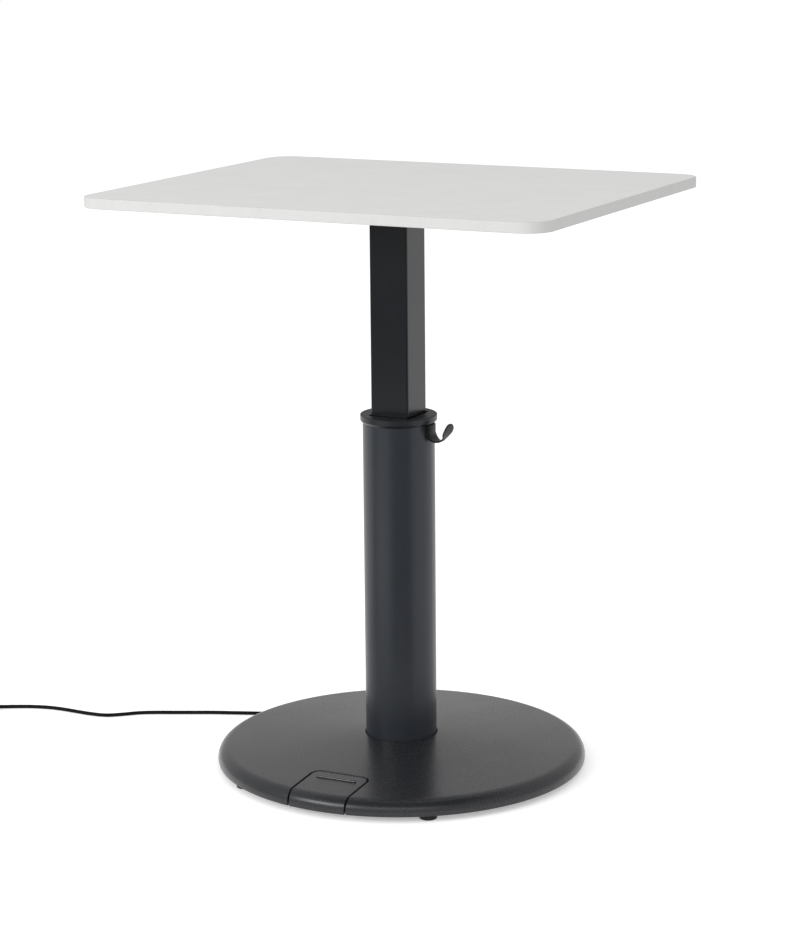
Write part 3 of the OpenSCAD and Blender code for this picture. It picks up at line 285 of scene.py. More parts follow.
# Steps of the CAD's strap at which the straight part ends and the bend starts and ends, the last one,
# and the number of steps in which it eases off the column's wall
HOOK_DOWN_END, HOOK_BEND_START, HOOK_BEND_END, HOOK_END = 3, 4, 14, 22
HOOK_OFF_STEPS = 5
# Finer steps drawn here in the straight part, the bend and the rise
HOOK_DOWN_STEPS, HOOK_BEND_STEPS, HOOK_RISE_STEPS = 12, 40, 40
HOOK_SIDES = 40
HOOK_SQUARENESS = 0.35


def hook_line():
    """Side view of the strap: straight down the column, a circular bend, then a rise whose lean falls
    evenly from the neck to the tip. Returns points in XZ and each point's share of the CAD's steps."""
    bend_z = HOOK_LOW + HOOK_T / 2 + HOOK_BEND_R
    straight = np.linspace(HOOK_TOP, bend_z, HOOK_DOWN_STEPS + 1)
    down = np.stack([np.full(len(straight), HOOK_BACK), straight], -1)
    a = np.linspace(math.pi, 2 * math.pi - HOOK_NECK_LEAN, HOOK_BEND_STEPS + 1)
    centre = np.array([HOOK_BACK + HOOK_BEND_R, bend_z])
    bend = centre + HOOK_BEND_R * np.stack([np.cos(a), np.sin(a)], -1)
    lean = np.linspace(HOOK_NECK_LEAN, HOOK_TIP_LEAN, HOOK_RISE_STEPS)
    rise = np.cumsum(HOOK_RISE / HOOK_RISE_STEPS * np.stack([np.sin(lean), np.cos(lean)], -1), axis=0)
    step = np.concatenate([
        np.linspace(0, HOOK_DOWN_END, HOOK_DOWN_STEPS + 1),
        np.linspace(HOOK_BEND_START, HOOK_BEND_END, HOOK_BEND_STEPS + 1)[1:],
        HOOK_BEND_END + np.linspace(0, HOOK_END - HOOK_BEND_END, HOOK_RISE_STEPS + 1)[1:],
    ])
    return np.vstack([down, bend[1:], bend[-1] + rise]), step / HOOK_END


def hook_half_width(u):
    """Half width along the strap: full, easing to the narrow neck and to the wide tip on half a cosine
    wave each, then an ellipse that closes just past the end."""
    def ease(a, b, t):
        return a + (b - a) * (1 - np.cos(math.pi * np.clip(t, 0, 1))) / 2
    neck = ease(HOOK_W, HOOK_NECK_W, (u - HOOK_STRAP_SHARE) / (HOOK_NECK_SHARE - HOOK_STRAP_SHARE)) / 2
    wide = ease(HOOK_NECK_W, HOOK_TIP_W, (u - HOOK_NECK_SHARE) / (HOOK_WIDE_SHARE - HOOK_NECK_SHARE)) / 2
    past = (u - HOOK_WIDE_SHARE) / (HOOK_TIP_SHARE - HOOK_WIDE_SHARE)
    tip = HOOK_TIP_W / 2 * np.sqrt(np.clip(1 - past**2, 0, 1))
    return np.where(u < HOOK_NECK_SHARE, neck, np.where(u < HOOK_WIDE_SHARE, wide, tip))


def make_hook():
    """Strap swept along its side view. A section is a flat superellipse, half width * cos(a)^e by half
    thickness * sin(a)^e, thinner where the tip closes. On the column it is laid back onto the round
    wall, and the steps after that ease off it."""
    line, share = hook_line()
    half = hook_half_width(share)
    heading = unit(np.gradient(line, axis=0))
    a = np.linspace(0, 2 * math.pi, HOOK_SIDES, endpoint=False)
    full_from, least = 0.004, 0.3
    y = half[:, None] * signed_power(np.cos(a), HOOK_SQUARENESS)[None]
    thick = HOOK_T / 2 * np.clip(half / full_from, least, 1)[:, None]
    out = thick * signed_power(np.sin(a), HOOK_SQUARENESS)[None]
    wrap = np.clip(1 - (share * HOOK_END - HOOK_DOWN_END) / HOOK_OFF_STEPS, 0, 1)[:, None]
    back = wrap * (TUBE_R - np.sqrt(TUBE_R**2 - y**2))
    x = line[:, :1] - heading[:, 1:] * out - back
    z = line[:, 1:] + heading[:, :1] * out
    hook = grid_piece("bag_hook_strap", np.stack([x, y, z], -1))
    set_outwards(hook)
    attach(hook, "base")
    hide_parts("bag_hook")
    return hook


# Base: height at the column, slope of its cone, gap under it, and its rim's radius and centre
BASE_H = 0.050
BASE_SLOPE = math.radians(4.4)
RIM_GAP = 0.009
RIM_R = 0.019
RIM_C = 0.2675
RIM_Z = 0.014593

# Pedal's outline from above, and how far each wall at its gap stands back, across and at the rear
PEDAL_HALF_W = 0.0465
PEDAL_REAR = 0.197
PEDAL_CORNER_R = 0.013
PEDAL_GAP = 0.0016
GAP_EASE = (0.0008, 0.0012)

# Copies of base and pedal: how near points merge before and after the rounding, its radius and steps,
# the angles within which faces are one plane, level, on the outside, facets of one curve or smoothly
# joined, and the least angle at a wall
MERGE_AT = 2e-5
MERGE_AFTER = 5e-5
ROUND_R = 0.0009
ROUND_STEPS = 4
FLAT_ANGLE = math.radians(0.04)
LEVEL_ANGLE = math.radians(0.5)
SHELL_ANGLE = math.radians(3)
FACET_ANGLE = math.radians(20)
SMOOTH_ANGLE = math.radians(36)
WALL_ANGLE = math.radians(40)

# How near the pedal's outline a point lies on it, how far past an edge is beyond it, how close to the
# gap an edge runs beside it, its largest sidestep as a share of its length, and the width up to which
# a wall is a mere strip and isn't rounded
ON_OUTLINE = 0.06 * MM
JUST_PAST = 0.1 * MM
BESIDE_GAP = 2.5 * MM
SIDESTEP = 0.35
STRIP_W = 0.3 * MM

# Raised bar on the pedal: length, width and height, its distance from the axis, how deep its foot
# goes, how far the dome stands over the foot, the length of its rounded ends and the dome's fullness
BAR_L = 0.066
BAR_W = 0.005
BAR_H = 0.0028
BAR_Y = 0.218
BAR_FOOT = 0.0005
BAR_LIP = 0.0004
BAR_END = 0.002
BAR_FULLNESS = 0.85


# Plug, tie, curly lead and the other soft solids of the CAD

def at_plug(points):
    """Points given along the plug, across it and up from its middle, put in their place."""
    c, s = math.cos(PLUG_HEADING), math.sin(PLUG_HEADING)
    x, y, z = points[..., 0], points[..., 1], points[..., 2]
    return np.stack([PLUG_TIP[0] + c * x - s * y, PLUG_TIP[1] + s * x + c * y, PLUG_T / 2 + z], -1)


def make_plug():
    """Flat two-pin plug lofted from superellipses: ribbed boot, waist for the fingers and a wide face.
    A station gives the place along it, half width, half thickness and squareness, in millimetres. The
    body's values ease from station to station on 3t^2 - 2t^3, and the others change evenly."""
    stations = np.array([
        (0, 3.5, 3.5, 2), (20, 5.3, 5.3, 2), (22.5, 5.6, 5.6, 2.2), (29, 10.8, 6.75, 3),
        (35, 10.8, 6.75, 3.4), (43, 17.4, 6.78, 4), (49.2, 17.5, 6.8, 5), (50, 16.9, 6.2, 5),
    ])
    boot_end, face_start, end = stations[[2, 6, 7], 0]
    groove_from, groove_to, groove_pitch, groove_width, groove_depth = 3, 19, 3.2, 1.1, 0.7
    boot_rows, body_rows, sides = 76, 60, 48
    along = np.concatenate([np.linspace(0, boot_end, boot_rows),
                            np.linspace(boot_end, face_start, body_rows)[1:],
                            [(face_start + end) / 2, end]])
    cell = np.clip(np.searchsorted(stations[:, 0], along, side="right") - 1, 0, len(stations) - 2)
    t = (along - stations[cell, 0]) / (stations[cell + 1, 0] - stations[cell, 0])
    t = np.where((cell >= 2) & (cell < 6), t * t * (3 - 2 * t), t)
    width, thick, square = (stations[cell, i] + t * (stations[cell + 1, i] - stations[cell, i])
                            for i in (1, 2, 3))
    ribbed = (along > groove_from) & (along < groove_to) & (along % groove_pitch < groove_width)
    groove = groove_depth * ribbed
    a = np.linspace(0, 2 * math.pi, sides, endpoint=False)
    y = (width - groove)[:, None] * signed_power(np.cos(a), 2 / square[:, None])
    z = (thick - groove)[:, None] * signed_power(np.sin(a), 2 / square[:, None])
    points = at_plug(np.stack(np.broadcast_arrays(along[:, None], y, z), -1) * MM)
    plug = grid_piece("plug_body", points)
    plug.data.set_sharp_from_angle(angle=math.radians(35))
    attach(plug, "base")
    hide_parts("plug")
    return plug


def make_tie():
    """Hook-and-loop tie: a thin closed strap on a rounded rectangle round the coil's bundle, four
    quarter circles joined by straight runs, with a low eight-cornered section."""
    inner, outer, low, high = 0.0238, 0.0448, 0.0011, 0.0275
    corner, thick, width, turn = 0.003, 0.001, 0.010, math.radians(330)
    centres = [(inner + corner, low + corner), (outer - corner, low + corner),
               (outer - corner, high - corner), (inner + corner, high - corner)]
    starts = [math.pi, 1.5 * math.pi, 0, 0.5 * math.pi]
    arc = np.linspace(0, 0.5 * math.pi, 7)
    loop = np.vstack([np.stack([c[0] + corner * np.cos(s + arc), c[1] + corner * np.sin(s + arc)], -1)
                      for c, s in zip(centres, starts)])
    loop = np.vstack([loop, loop[:1]])
    heading = np.gradient(loop, axis=0)
    heading[0] = heading[-1] = (0, -1)
    heading = unit(heading)
    outwards = np.stack([heading[:, 1], -heading[:, 0]], -1)
    section = [(-1, 0.1), (-0.9, 0), (0.9, 0), (1, 0.1), (1, 0.8), (0.9, 1), (-0.9, 1), (-1, 0.8)]
    across, raised = (np.array(section) * (width / 2, thick)).T
    radial = loop[:, None, 0] + outwards[:, None, 0] * raised[None]
    z = loop[:, None, 1] + outwards[:, None, 1] * raised[None]
    x = COIL_AT[0] + radial * math.cos(turn) - across[None] * math.sin(turn)
    y = COIL_AT[1] + radial * math.sin(turn) + across[None] * math.cos(turn)
    tie = grid_piece("coil_tie", np.stack([x, y, z], -1)[:-1], ring=True)
    set_outwards(tie)
    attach(tie, "base")
    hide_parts("cord_tie")
    return tie


def make_curly_lead():
    """Curly lead between base and motor, which on the desk stretches as the tube rises: here an even helix
    round the column's axis, of one length."""
    low, high, coil_r, lead_r, turns, steps = 0.0268, 0.6530, 0.0235, 0.0024, 44, 20
    t = np.linspace(0, 1, turns * steps + 1)
    a = 2 * math.pi * turns * t
    path = np.stack([coil_r * np.cos(a), coil_r * np.sin(a), low + (high - low) * t], -1)
    lead = tube("curly_motor_lead", path, lead_r, 8)
    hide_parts("coiled_lead")
    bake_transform(lead)
    return lead


def make_springs():
    """Four centring springs under the pedal, each a helix of five turns whose first and last sixth lie
    closer. A spring ends under the pedal's wall, where the cone is lowest over it."""
    wire, radius, floor_z, turns = 0.0005, 0.0035, 0.013, 5
    to_far_side, pedal_wall = 0.007, 0.0033
    springs = []
    for n, (x, y) in enumerate([(-22, -258), (22, -258), (-22, -220), (22, -220)]):
        reach = math.hypot(x, y) * MM + to_far_side
        top = BASE_H - (reach - TUBE_R) * math.tan(BASE_SLOPE) - pedal_wall
        t = np.linspace(0, 1, 121)
        rise = np.interp(t, [0, 0.16, 0.84, 1], [0, 0.06, 0.94, 1])
        a = 2 * math.pi * turns * t
        z = floor_z + wire + (top - floor_z - 2 * wire) * rise
        path = np.stack([x * MM + radius * np.cos(a), y * MM + radius * np.sin(a), z], -1)
        spring = tube(f"pedal_spring_{n + 1}", path, wire, 8)
        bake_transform(spring)
        springs.append(spring)
    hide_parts("pedal_springs")
    return springs


def toward_box(r, z):
    """Point under the flange on the side of the controller, at a distance from the column's axis."""
    return (-r * math.cos(EXIT_HEADING), -r * math.sin(EXIT_HEADING), z)


def make_inner_leads():
    """Leads in the base's hollow, along the CAD's routes: the motor lead from the
    controller to a hole under the column, and the foot switches' lead to the controller's side."""
    nose_l, box_l, box_w, box_entry = 0.023, 0.085, 0.090, 0.050
    box_start = RELIEF_TIP + RELIEF_L + nose_l
    low, hole_r = 0.0131, 0.0215
    motor = [on_exit(box_start + box_l, low), toward_box(0.082, low), toward_box(0.062, low),
             toward_box(0.045, low), toward_box(hole_r + 0.0115, low),
             toward_box(hole_r + 0.006, low + 0.0001), toward_box(hole_r + 0.0021, low + 0.0021),
             toward_box(hole_r + 0.0003, low + 0.0055), toward_box(hole_r, 0.0237)]
    low = 0.01245
    aside = np.array([math.sin(EXIT_HEADING), -math.cos(EXIT_HEADING), 0])
    box_side = np.array(on_exit(box_start + box_entry, low)) + aside * box_w / 2
    switch = [(0, -0.2178, 0.01505), (0, -0.2098, 0.01505), (-0.003, -0.1994, 0.01505),
              (-0.006, -0.181, 0.01495), (-0.012, -0.167, 0.01475), (-0.034, -0.142, low + 0.0008),
              (-0.070, -0.118, low), (-0.104, -0.084, low), (-0.130, -0.048, low), (-0.146, -0.016, low),
              box_side + aside * 0.012, box_side]
    leads = []
    for name, node, route, radius in (("motor_lead_cable", "motor_lead", motor, 0.0025),
                                      ("switch_lead_cable", "switch_lead", switch, 0.00175)):
        lead = tube(name, smooth_path(route, 8), radius)
        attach(lead, "base")
        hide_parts(node)
        leads.append(lead)
    return leads


def lathe_normals(points):
    """Exact normals of the base's outside: square to its cone, then away from the rim's circle."""
    radius = np.maximum(np.linalg.norm(points[:, :2], axis=1), 1e-9)
    out = points[:, :2] / radius[:, None]
    on_rim = radius > RIM_C + RIM_R * math.sin(BASE_SLOPE)
    rim = unit(np.stack([radius - RIM_C, points[:, 2] - RIM_Z], -1))
    side = np.where(on_rim[:, None], rim, [[math.sin(BASE_SLOPE), math.cos(BASE_SLOPE)]])
    return np.hstack([out * side[:, :1], side[:, 1:]])


def gap_shift(x, y, grow, ease):
    """Move, seen from above, that opens the gap at a point on the pedal's outline grown by a margin:
    along the outline's normal, by the ease, which is given across and back. Other points stay. The
    outline is a rectangle with round rear corners, open at the rim."""
    radius = PEDAL_CORNER_R + grow
    over = max(abs(x) - PEDAL_HALF_W - grow + radius, 0), max(y + PEDAL_REAR - grow + radius, 0)
    reach = math.hypot(*over)
    if y > 0 or reach == 0 or abs(reach - radius) > ON_OUTLINE:
        return Vector((0, 0, 0))
    return Vector((math.copysign(over[0], x) * ease[0], over[1] * ease[1], 0)) / reach


def softened(node, body, grow, ease):
    """Merged copy of a CAD node, with its outer edges rounded, as a coated casting's are. The outside
    has the normals of cone and rim, so that no facet shows, and a level underside keeps its own.
    Grow says where the wall at the pedal's gap stands, out from the pedal's outline, and ease moves
    it. Narrow facets along the gap's sides join their neighbours, to leave room for the rounding."""
    mesh = NODES[node].data.copy()
    piece = add_object(f"{node}_softened", mesh)
    built = bmesh.new()
    built.from_mesh(mesh)
    bmesh.ops.remove_doubles(built, verts=built.verts, dist=MERGE_AT)
    bmesh.ops.dissolve_limit(built, angle_limit=FLAT_ANGLE, verts=built.verts, edges=built.edges)

    for vert in built.verts:
        vert.co += gap_shift(vert.co.x, vert.co.y, grow, ease)
    built.normal_update()

    def outside(face):
        """Whether a face lies on the cone or the rim."""
        middle = face.calc_center_median()
        exact = Vector(lathe_normals(np.array([middle]))[0])
        return middle.z > RIM_GAP + JUST_PAST and face.normal.dot(exact) > math.cos(SHELL_ANGLE)

    def along_side(edge):
        """Whether an edge between two facets runs lengthwise beside the pedal's gap."""
        side = PEDAL_HALF_W + grow + ease[0]
        a, b = (vert.co for vert in edge.verts)
        close = all(abs(abs(p.x) - side) < BESIDE_GAP and p.y < 0 for p in (a, b))
        lengthwise = abs(a.x - b.x) < SIDESTEP * edge.calc_length()
        return close and lengthwise and edge.calc_face_angle(0) < FACET_ANGLE

    shell = {face for face in built.faces if outside(face)}
    narrow = [edge for edge in built.edges if len(edge.link_faces) == 2
              and all(face in shell for face in edge.link_faces) and along_side(edge)]
    bmesh.ops.dissolve_edges(built, edges=narrow, use_verts=True)
    built.normal_update()
    shell = {face for face in built.faces if outside(face)}

    def at_wall(edge):
        """Whether an edge lies between the outside and a wall, and not at the raised bar's groove."""
        walls = [face for face in edge.link_faces if face not in shell]
        if len(edge.link_faces) != 2 or len(walls) != 1 or edge.calc_face_angle(0) < WALL_ANGLE:
            return False
        middle = (edge.verts[0].co + edge.verts[1].co) / 2
        wide = walls[0].calc_area() > STRIP_W * max(bound.calc_length() for bound in walls[0].edges)
        return wide and not (abs(middle.x) < BAR_L / 2 + JUST_PAST and abs(middle.y + BAR_Y) < BAR_W)

    rims = [edge for edge in built.edges if at_wall(edge)]
    bmesh.ops.bevel(built, geom=rims, offset=ROUND_R, offset_type="OFFSET", segments=ROUND_STEPS,
                    profile=0.5, affect="EDGES", clamp_overlap=False)
    bmesh.ops.remove_doubles(built, verts=built.verts, dist=MERGE_AFTER)
    bmesh.ops.dissolve_degenerate(built, edges=built.edges, dist=MERGE_AT)
    built.normal_update()
    built.faces.index_update()
    shell = [face.index for face in built.faces if outside(face)]
    built.to_mesh(mesh)
    built.free()
    mesh.polygons.foreach_set("use_smooth", np.full(len(mesh.polygons), True))
    mesh.set_sharp_from_angle(angle=SMOOTH_ANGLE)
    set_exact_normals(mesh, shell)
    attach(piece, body)
    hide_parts(node)
    return piece


def set_exact_normals(mesh, shell):
    """Gives the corners on the shell's faces, or close to their slope beside them, the exact normals of
    cone and rim, and the corners of level faces below their own face's. Zero leaves a corner as it is."""
    corners = np.zeros(len(mesh.loops), np.int64)
    mesh.loops.foreach_get("vertex_index", corners)
    places = np.zeros(len(mesh.vertices) * 3)
    mesh.vertices.foreach_get("co", places)
    exact = lathe_normals(places.reshape(-1, 3))[corners]
    owner = np.repeat(np.arange(len(mesh.polygons)), [face.loop_total for face in mesh.polygons])
    facing = np.array([face.normal for face in mesh.polygons])[owner]
    on_shell = np.zeros(len(mesh.vertices), bool)
    on_shell[corners[np.isin(owner, shell)]] = True
    near = np.einsum("ij,ij->i", facing, exact) > math.cos(SMOOTH_ANGLE)
    level = facing[:, 2] < -math.cos(LEVEL_ANGLE)
    normals = np.where(level[:, None], facing, 0)
    normals = np.where((on_shell[corners] & near)[:, None], exact, normals)
    mesh.normals_split_custom_set(normals.tolist())


def make_bar():
    """Raised bar of the pedal: a dome across, half width * cos(a) by height * sin(a)^fullness, over a
    narrower foot that sits in the groove, with both ends drawn in on a quarter circle."""
    end_steps, dome_steps, tip_share = 8, 24, 0.995
    quarter = np.linspace(0, math.pi / 2, end_steps + 1)
    along = np.concatenate([-np.cos(quarter) * BAR_END - BAR_L / 2 + BAR_END,
                            np.cos(quarter[::-1]) * BAR_END + BAR_L / 2 - BAR_END])
    over = np.clip((np.abs(along) - BAR_L / 2 + BAR_END) / BAR_END, 0, tip_share)
    size = np.sqrt(1 - over**2)[:, None]
    a = np.linspace(0, math.pi, dome_steps + 1)
    foot = BAR_W / 2 - BAR_LIP
    across = np.concatenate([BAR_W / 2 * np.cos(a), [-foot, -foot, foot, foot]])[None] * size
    dome = BAR_LIP + (BAR_H - BAR_LIP) * np.sin(a) ** BAR_FULLNESS
    up = np.concatenate([dome, [BAR_LIP, -BAR_FOOT, -BAR_FOOT, BAR_LIP]])[None] * size
    c, t = math.cos(BASE_SLOPE), math.sin(BASE_SLOPE)
    y = -BAR_Y + across * c - up * t
    z = BASE_H - (BAR_Y - TUBE_R) * math.tan(BASE_SLOPE) + across * t + up * c
    x = np.broadcast_to(along[:, None], y.shape)
    bar = grid_piece("raised_bar", np.stack([x, y, z], -1))
    set_outwards(bar)
    bar.data.set_sharp_from_angle(angle=math.radians(50))
    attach(bar, "pedal")
    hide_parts("tactile_bar")
    return bar


def set_outwards(piece):
    """Turns every face of a closed piece outwards."""
    built = bmesh.new()
    built.from_mesh(piece.data)
    bmesh.ops.recalc_face_normals(built, faces=built.faces)
    built.to_mesh(piece.data)
    built.free()


hook = make_hook()
plug = make_plug()
tie = make_tie()
curly_lead = make_curly_lead()
springs = make_springs()
inner_leads = make_inner_leads()
base_top = softened("base_casting", "base", PEDAL_GAP, GAP_EASE)
pedal_top = softened("pedal", "pedal", 0, (-GAP_EASE[0], -GAP_EASE[1]))
bar = make_bar()


# Materials

# How much the grain counts beside the mottle in the colour, and beside the cloud in the dull places,
# where a mixed noise starts and ends, and how much broader the cloud is than the mottle
GRAIN_IN_COLOUR = 0.45
GRAIN_IN_WEAR = 0.4
MIX_START, MIX_END = 0.4, 1.0
CLOUD_SCALE = 0.4
# Scale at which a wave texture's bands stand one unit apart
BAND_SCALE = 0.314


def linear(code):
    """Linear RGBA of an sRGB hex colour."""
    rgb = np.array([int(code[i:i + 2], 16) for i in (1, 3, 5)]) / 255
    rgb = np.where(rgb <= 0.04045, rgb / 12.92, ((rgb + 0.055) / 1.055) ** 2.4)
    return (*rgb.tolist(), 1.0)


def empty_tree(owner):
    """Node tree of a material or world, switched on and cleared."""
    owner.use_nodes = True
    owner.node_tree.nodes.clear()
    return owner.node_tree


def add_node(tree, kind, settings=None, values=None, links=None):
    """Adds a node, sets its own settings and its sockets' values, and links sockets to it."""
    made = tree.nodes.new(kind)
    for name, value in (settings or {}).items():
        setattr(made, name, value)
    for socket, value in (values or {}).items():
        made.inputs[socket].default_value = value
    for socket, source in (links or {}).items():
        tree.links.new(source, made.inputs[socket])
    return made


def surface(name, shade, light, mottle_mm, grain, roughness, patchy=0.05, stretch=(1, 1, 1),
            on_uv=False, specular=0.5, **shader):
    """Material of one finish. Two near colours are mixed by a broad mottle. The grain, given as its
    kind, size in millimetres and depth in millimetres, goes into colour, bump and roughness, and a
    slow cloud makes some places duller than others, by patchy each way."""
    kind, grain_mm, depth_mm = grain
    material = bpy.data.materials.new(name)
    tree = empty_tree(material)
    place = add_node(tree, "ShaderNodeTexCoord")
    spread = add_node(tree, "ShaderNodeMapping", values={"Scale": stretch},
                      links={"Vector": place.outputs["UV" if on_uv else "Object"]})
    there = {"Vector": spread.outputs["Vector"]}
    mottle = add_node(tree, "ShaderNodeTexNoise", values={"Scale": 1 / (mottle_mm * MM), "Detail": 3},
                      links=there)
    scale = 1 / (grain_mm * MM)
    texture, settings, values, output = {
        "cells": ("ShaderNodeTexVoronoi", {"feature": "SMOOTH_F1"},
                  {"Scale": scale, "Smoothness": 0.6}, "Distance"),
        "lines": ("ShaderNodeTexWave", {"bands_direction": "Y"},
                  {"Scale": BAND_SCALE * scale, "Distortion": 1.2, "Detail": 2, "Detail Scale": 0.6},
                  "Fac"),
        "noise": ("ShaderNodeTexNoise", {}, {"Scale": scale, "Detail": 3, "Roughness": 0.6}, "Fac"),
    }[kind]
    fine = add_node(tree, texture, settings, values, there)
    height = fine.outputs[output]
    both = add_node(tree, "ShaderNodeMath", {"operation": "MULTIPLY_ADD"}, {1: GRAIN_IN_COLOUR},
                    {0: height, 2: mottle.outputs["Fac"]})
    mixed = {"From Min": MIX_START, "From Max": MIX_END}
    share = add_node(tree, "ShaderNodeMapRange", values=mixed, links={"Value": both.outputs["Value"]})
    colour = add_node(tree, "ShaderNodeMix", {"data_type": "RGBA"}, {6: linear(shade), 7: linear(light)},
                      {0: share.outputs["Result"]})
    cloud = add_node(tree, "ShaderNodeTexNoise", links=there,
                     values={"Scale": CLOUD_SCALE / (mottle_mm * MM), "Detail": 4})
    worn = add_node(tree, "ShaderNodeMath", {"operation": "MULTIPLY_ADD"}, {1: GRAIN_IN_WEAR},
                    {0: height, 2: cloud.outputs["Fac"]})
    rough = add_node(tree, "ShaderNodeMapRange", links={"Value": worn.outputs["Value"]},
                     values={**mixed, "To Min": roughness - patchy, "To Max": roughness + patchy})
    bump = add_node(tree, "ShaderNodeBump", values={"Distance": depth_mm * MM, "Strength": 1.0},
                    links={"Height": height})
    coat = add_node(tree, "ShaderNodeBsdfPrincipled", values={"Specular IOR Level": specular, **shader},
                    links={"Base Color": colour.outputs[2], "Roughness": rough.outputs["Result"],
                           "Normal": bump.outputs["Normal"]})
    add_node(tree, "ShaderNodeOutputMaterial", links={"Surface": coat.outputs["BSDF"]})
    return material


def white_melamine():
    """Melamine-faced board, pressed against a fine pearl plate: near-white with a soft, dry sheen.
    The pearl is 0.6 mm on the real board and drawn at 1.4 mm, so that it shows."""
    return surface("melamine laminate pearl white", "#DEDEDD", "#E3E3E2", 60, ("cells", 1.4, 0.015), 0.46)


def white_edge_band():
    """ABS edge band, scraped and buffed along its length: even white, with faint scraper marks. Its white
    is greyer than the top's, as painted shade on the worktop's sides, which the front soft boxes light
    strongly.
    """
    # The band's colours are greyer than the melamine's: painted shade on the worktop's sides.
    return surface("buffed ABS edge band white", "#C7C7C6", "#CCCCCB", 25, ("noise", 3.0, 0.02), 0.56,
                   stretch=(1, 1, 0.2), specular=0.3)


def black_tube_coat():
    """Satin black powder coat on a drawn square tube: deep blue-black with faint orange peel, drawn
    out along the tube."""
    return surface("satin black powder coat on drawn tube", "#0D0F13", "#101318", 40, ("noise", 2.2, 0.03),
                   0.24, 0.03, stretch=(1, 1, 0.6), specular=0.36)


def black_pressed_coat():
    """Black powder coat on the pressed-steel hook: even black with fine orange peel, matter than on
    the tube."""
    return surface("satin black powder coat on pressed steel", "#08090A", "#0C0D0F", 12,
                   ("noise", 1.6, 0.03), 0.42, specular=0.16)


def graphite_coat():
    """Graphite powder coat on the round column: soft satin gradient and orange peel of 2 mm."""
    return surface("graphite powder coat on rolled tube", "#21252B", "#262A30", 50, ("noise", 2.0, 0.035),
                   0.31, 0.03, specular=0.38)


def textured_coat():
    """Fine-textured powder coat on cast iron: satin, slightly sandy, with cloudy thick and thin
    places. The grit is 0.8 mm on the real one and drawn at 1.8 mm, so that it shows."""
    return surface("fine textured powder coat on cast iron", "#202124", "#26272A", 38,
                   ("cells", 1.8, 0.03), 0.26, 0.04)


def moulded_nylon():
    """Glass-filled nylon of the collar: its top is dry black with a fine pitted grain, and its side
    below the rounded edge is smoother and satin, which gives it the same stripe as the column."""
    dry_specular, satin_specular, satin_roughness, satin_colour = 0.22, 0.38, 0.33, "#181B20"
    material = surface("moulded glass-filled nylon", "#121317", "#181A1E", 18, ("cells", 0.9, 0.03),
                       0.48, 0.04)
    tree = material.node_tree
    shader = next(node for node in tree.nodes if node.type == "BSDF_PRINCIPLED")
    place = add_node(tree, "ShaderNodeTexCoord")
    height = add_node(tree, "ShaderNodeSeparateXYZ", links={0: place.outputs["Object"]}).outputs["Z"]
    edge = {"From Min": COLLAR_TOP - 0.6 * MM, "From Max": COLLAR_TOP - 1.2 * MM}
    side = add_node(tree, "ShaderNodeMapRange", values=edge, links={"Value": height}).outputs["Result"]
    specular = add_node(tree, "ShaderNodeMapRange", links={"Value": height},
                        values={**edge, "To Min": dry_specular, "To Max": satin_specular})
    tree.links.new(specular.outputs["Result"], shader.inputs["Specular IOR Level"])
    for name, kind, dry, satin, value in (("Base Color", "RGBA", 6, 7, linear(satin_colour)),
                                          ("Roughness", "FLOAT", 2, 3, satin_roughness)):
        blend = add_node(tree, "ShaderNodeMix", {"data_type": kind}, {satin: value},
                         {0: side, dry: shader.inputs[name].links[0].from_socket})
        tree.links.new(blend.outputs[2 if kind == "RGBA" else 0], shader.inputs[name])
    return material


def moulded_abs():
    """Moulded ABS housings and spacers: dark grey, even and slightly glossy."""
    return surface("moulded ABS black", "#1C1C1D", "#222223", 22, ("noise", 1.2, 0.02), 0.48)


def bar_insert():
    """Moulded TPE of the raised bar: black, smooth and glossy, so that its ridge catches the light."""
    return surface("moulded TPE black", "#080808", "#101011", 7, ("noise", 0.9, 0.01), 0.16, 0.04, IOR=1.8)


def glide_polymer():
    """Moulded polyamide glides: black and smooth, with a dull sheen."""
    return surface("moulded polyamide black", "#0B0B0B", "#111111", 8, ("noise", 0.8, 0.02), 0.42, 0.06,
                   specular=0.3)


def acetal():
    """Turned and moulded acetal of the nut, pads and plungers: waxy off-white."""
    return surface("acetal natural", "#CFCBC0", "#DAD6CB", 12, ("noise", 1.0, 0.015), 0.40)


def cord_jacket():
    """Extruded PVC jacket: satin black, with long faint drag lines of the die. On the cord's own map,
    across is the length round it: the lines stand 1 mm apart."""
    return surface("extruded PVC cord jacket", "#0A0A0A", "#101010", 14, ("lines", 1.0, 0.02), 0.52, 0.06,
                   stretch=(0.05, 1, 1), on_uv=True, specular=0.12)


def moulded_pvc():
    """Moulded PVC of the plug and strain relief: black, matt from the mould, a little soft."""
    return surface("moulded PVC black", "#0D0D0D", "#131313", 10, ("cells", 0.8, 0.03), 0.55, specular=0.3)


def black_steel():
    """Black e-coat on laser-cut sheet: thin and even, with a faint rolled grain."""
    return surface("black e-coat on sheet steel", "#1B1B1D", "#232325", 30, ("noise", 1.4, 0.015), 0.50,
                   stretch=(1, 0.2, 1))


def zinc_plate():
    """Zinc plating on screws: pale blue-grey metal with cloudy passivation."""
    return surface("zinc plated steel", "#A9AEB3", "#C9CCCF", 3, ("noise", 0.5, 0.01), 0.32, 0.08,
                   Metallic=1.0)


def bright_steel():
    """Ground steel of the spindle, pin and springs: bright with fine rings round the axis."""
    return surface("ground steel", "#B9BBBD", "#CDCFD1", 4, ("noise", 0.4, 0.01), 0.24,
                   stretch=(0.2, 0.2, 3), Metallic=1.0)


def motor_steel():
    """Phosphated steel of the motor, gearbox and post: dull grey crystals of about 0.7 mm."""
    return surface("phosphated steel", "#65676A", "#808285", 12, ("cells", 0.7, 0.02), 0.45, 0.06,
                   Metallic=0.9)


def brass():
    """Turned brass inserts: warm yellow metal, dulled by handling."""
    return surface("turned brass", "#A2833F", "#C09F55", 2, ("noise", 0.3, 0.01), 0.35, 0.06, Metallic=1.0)


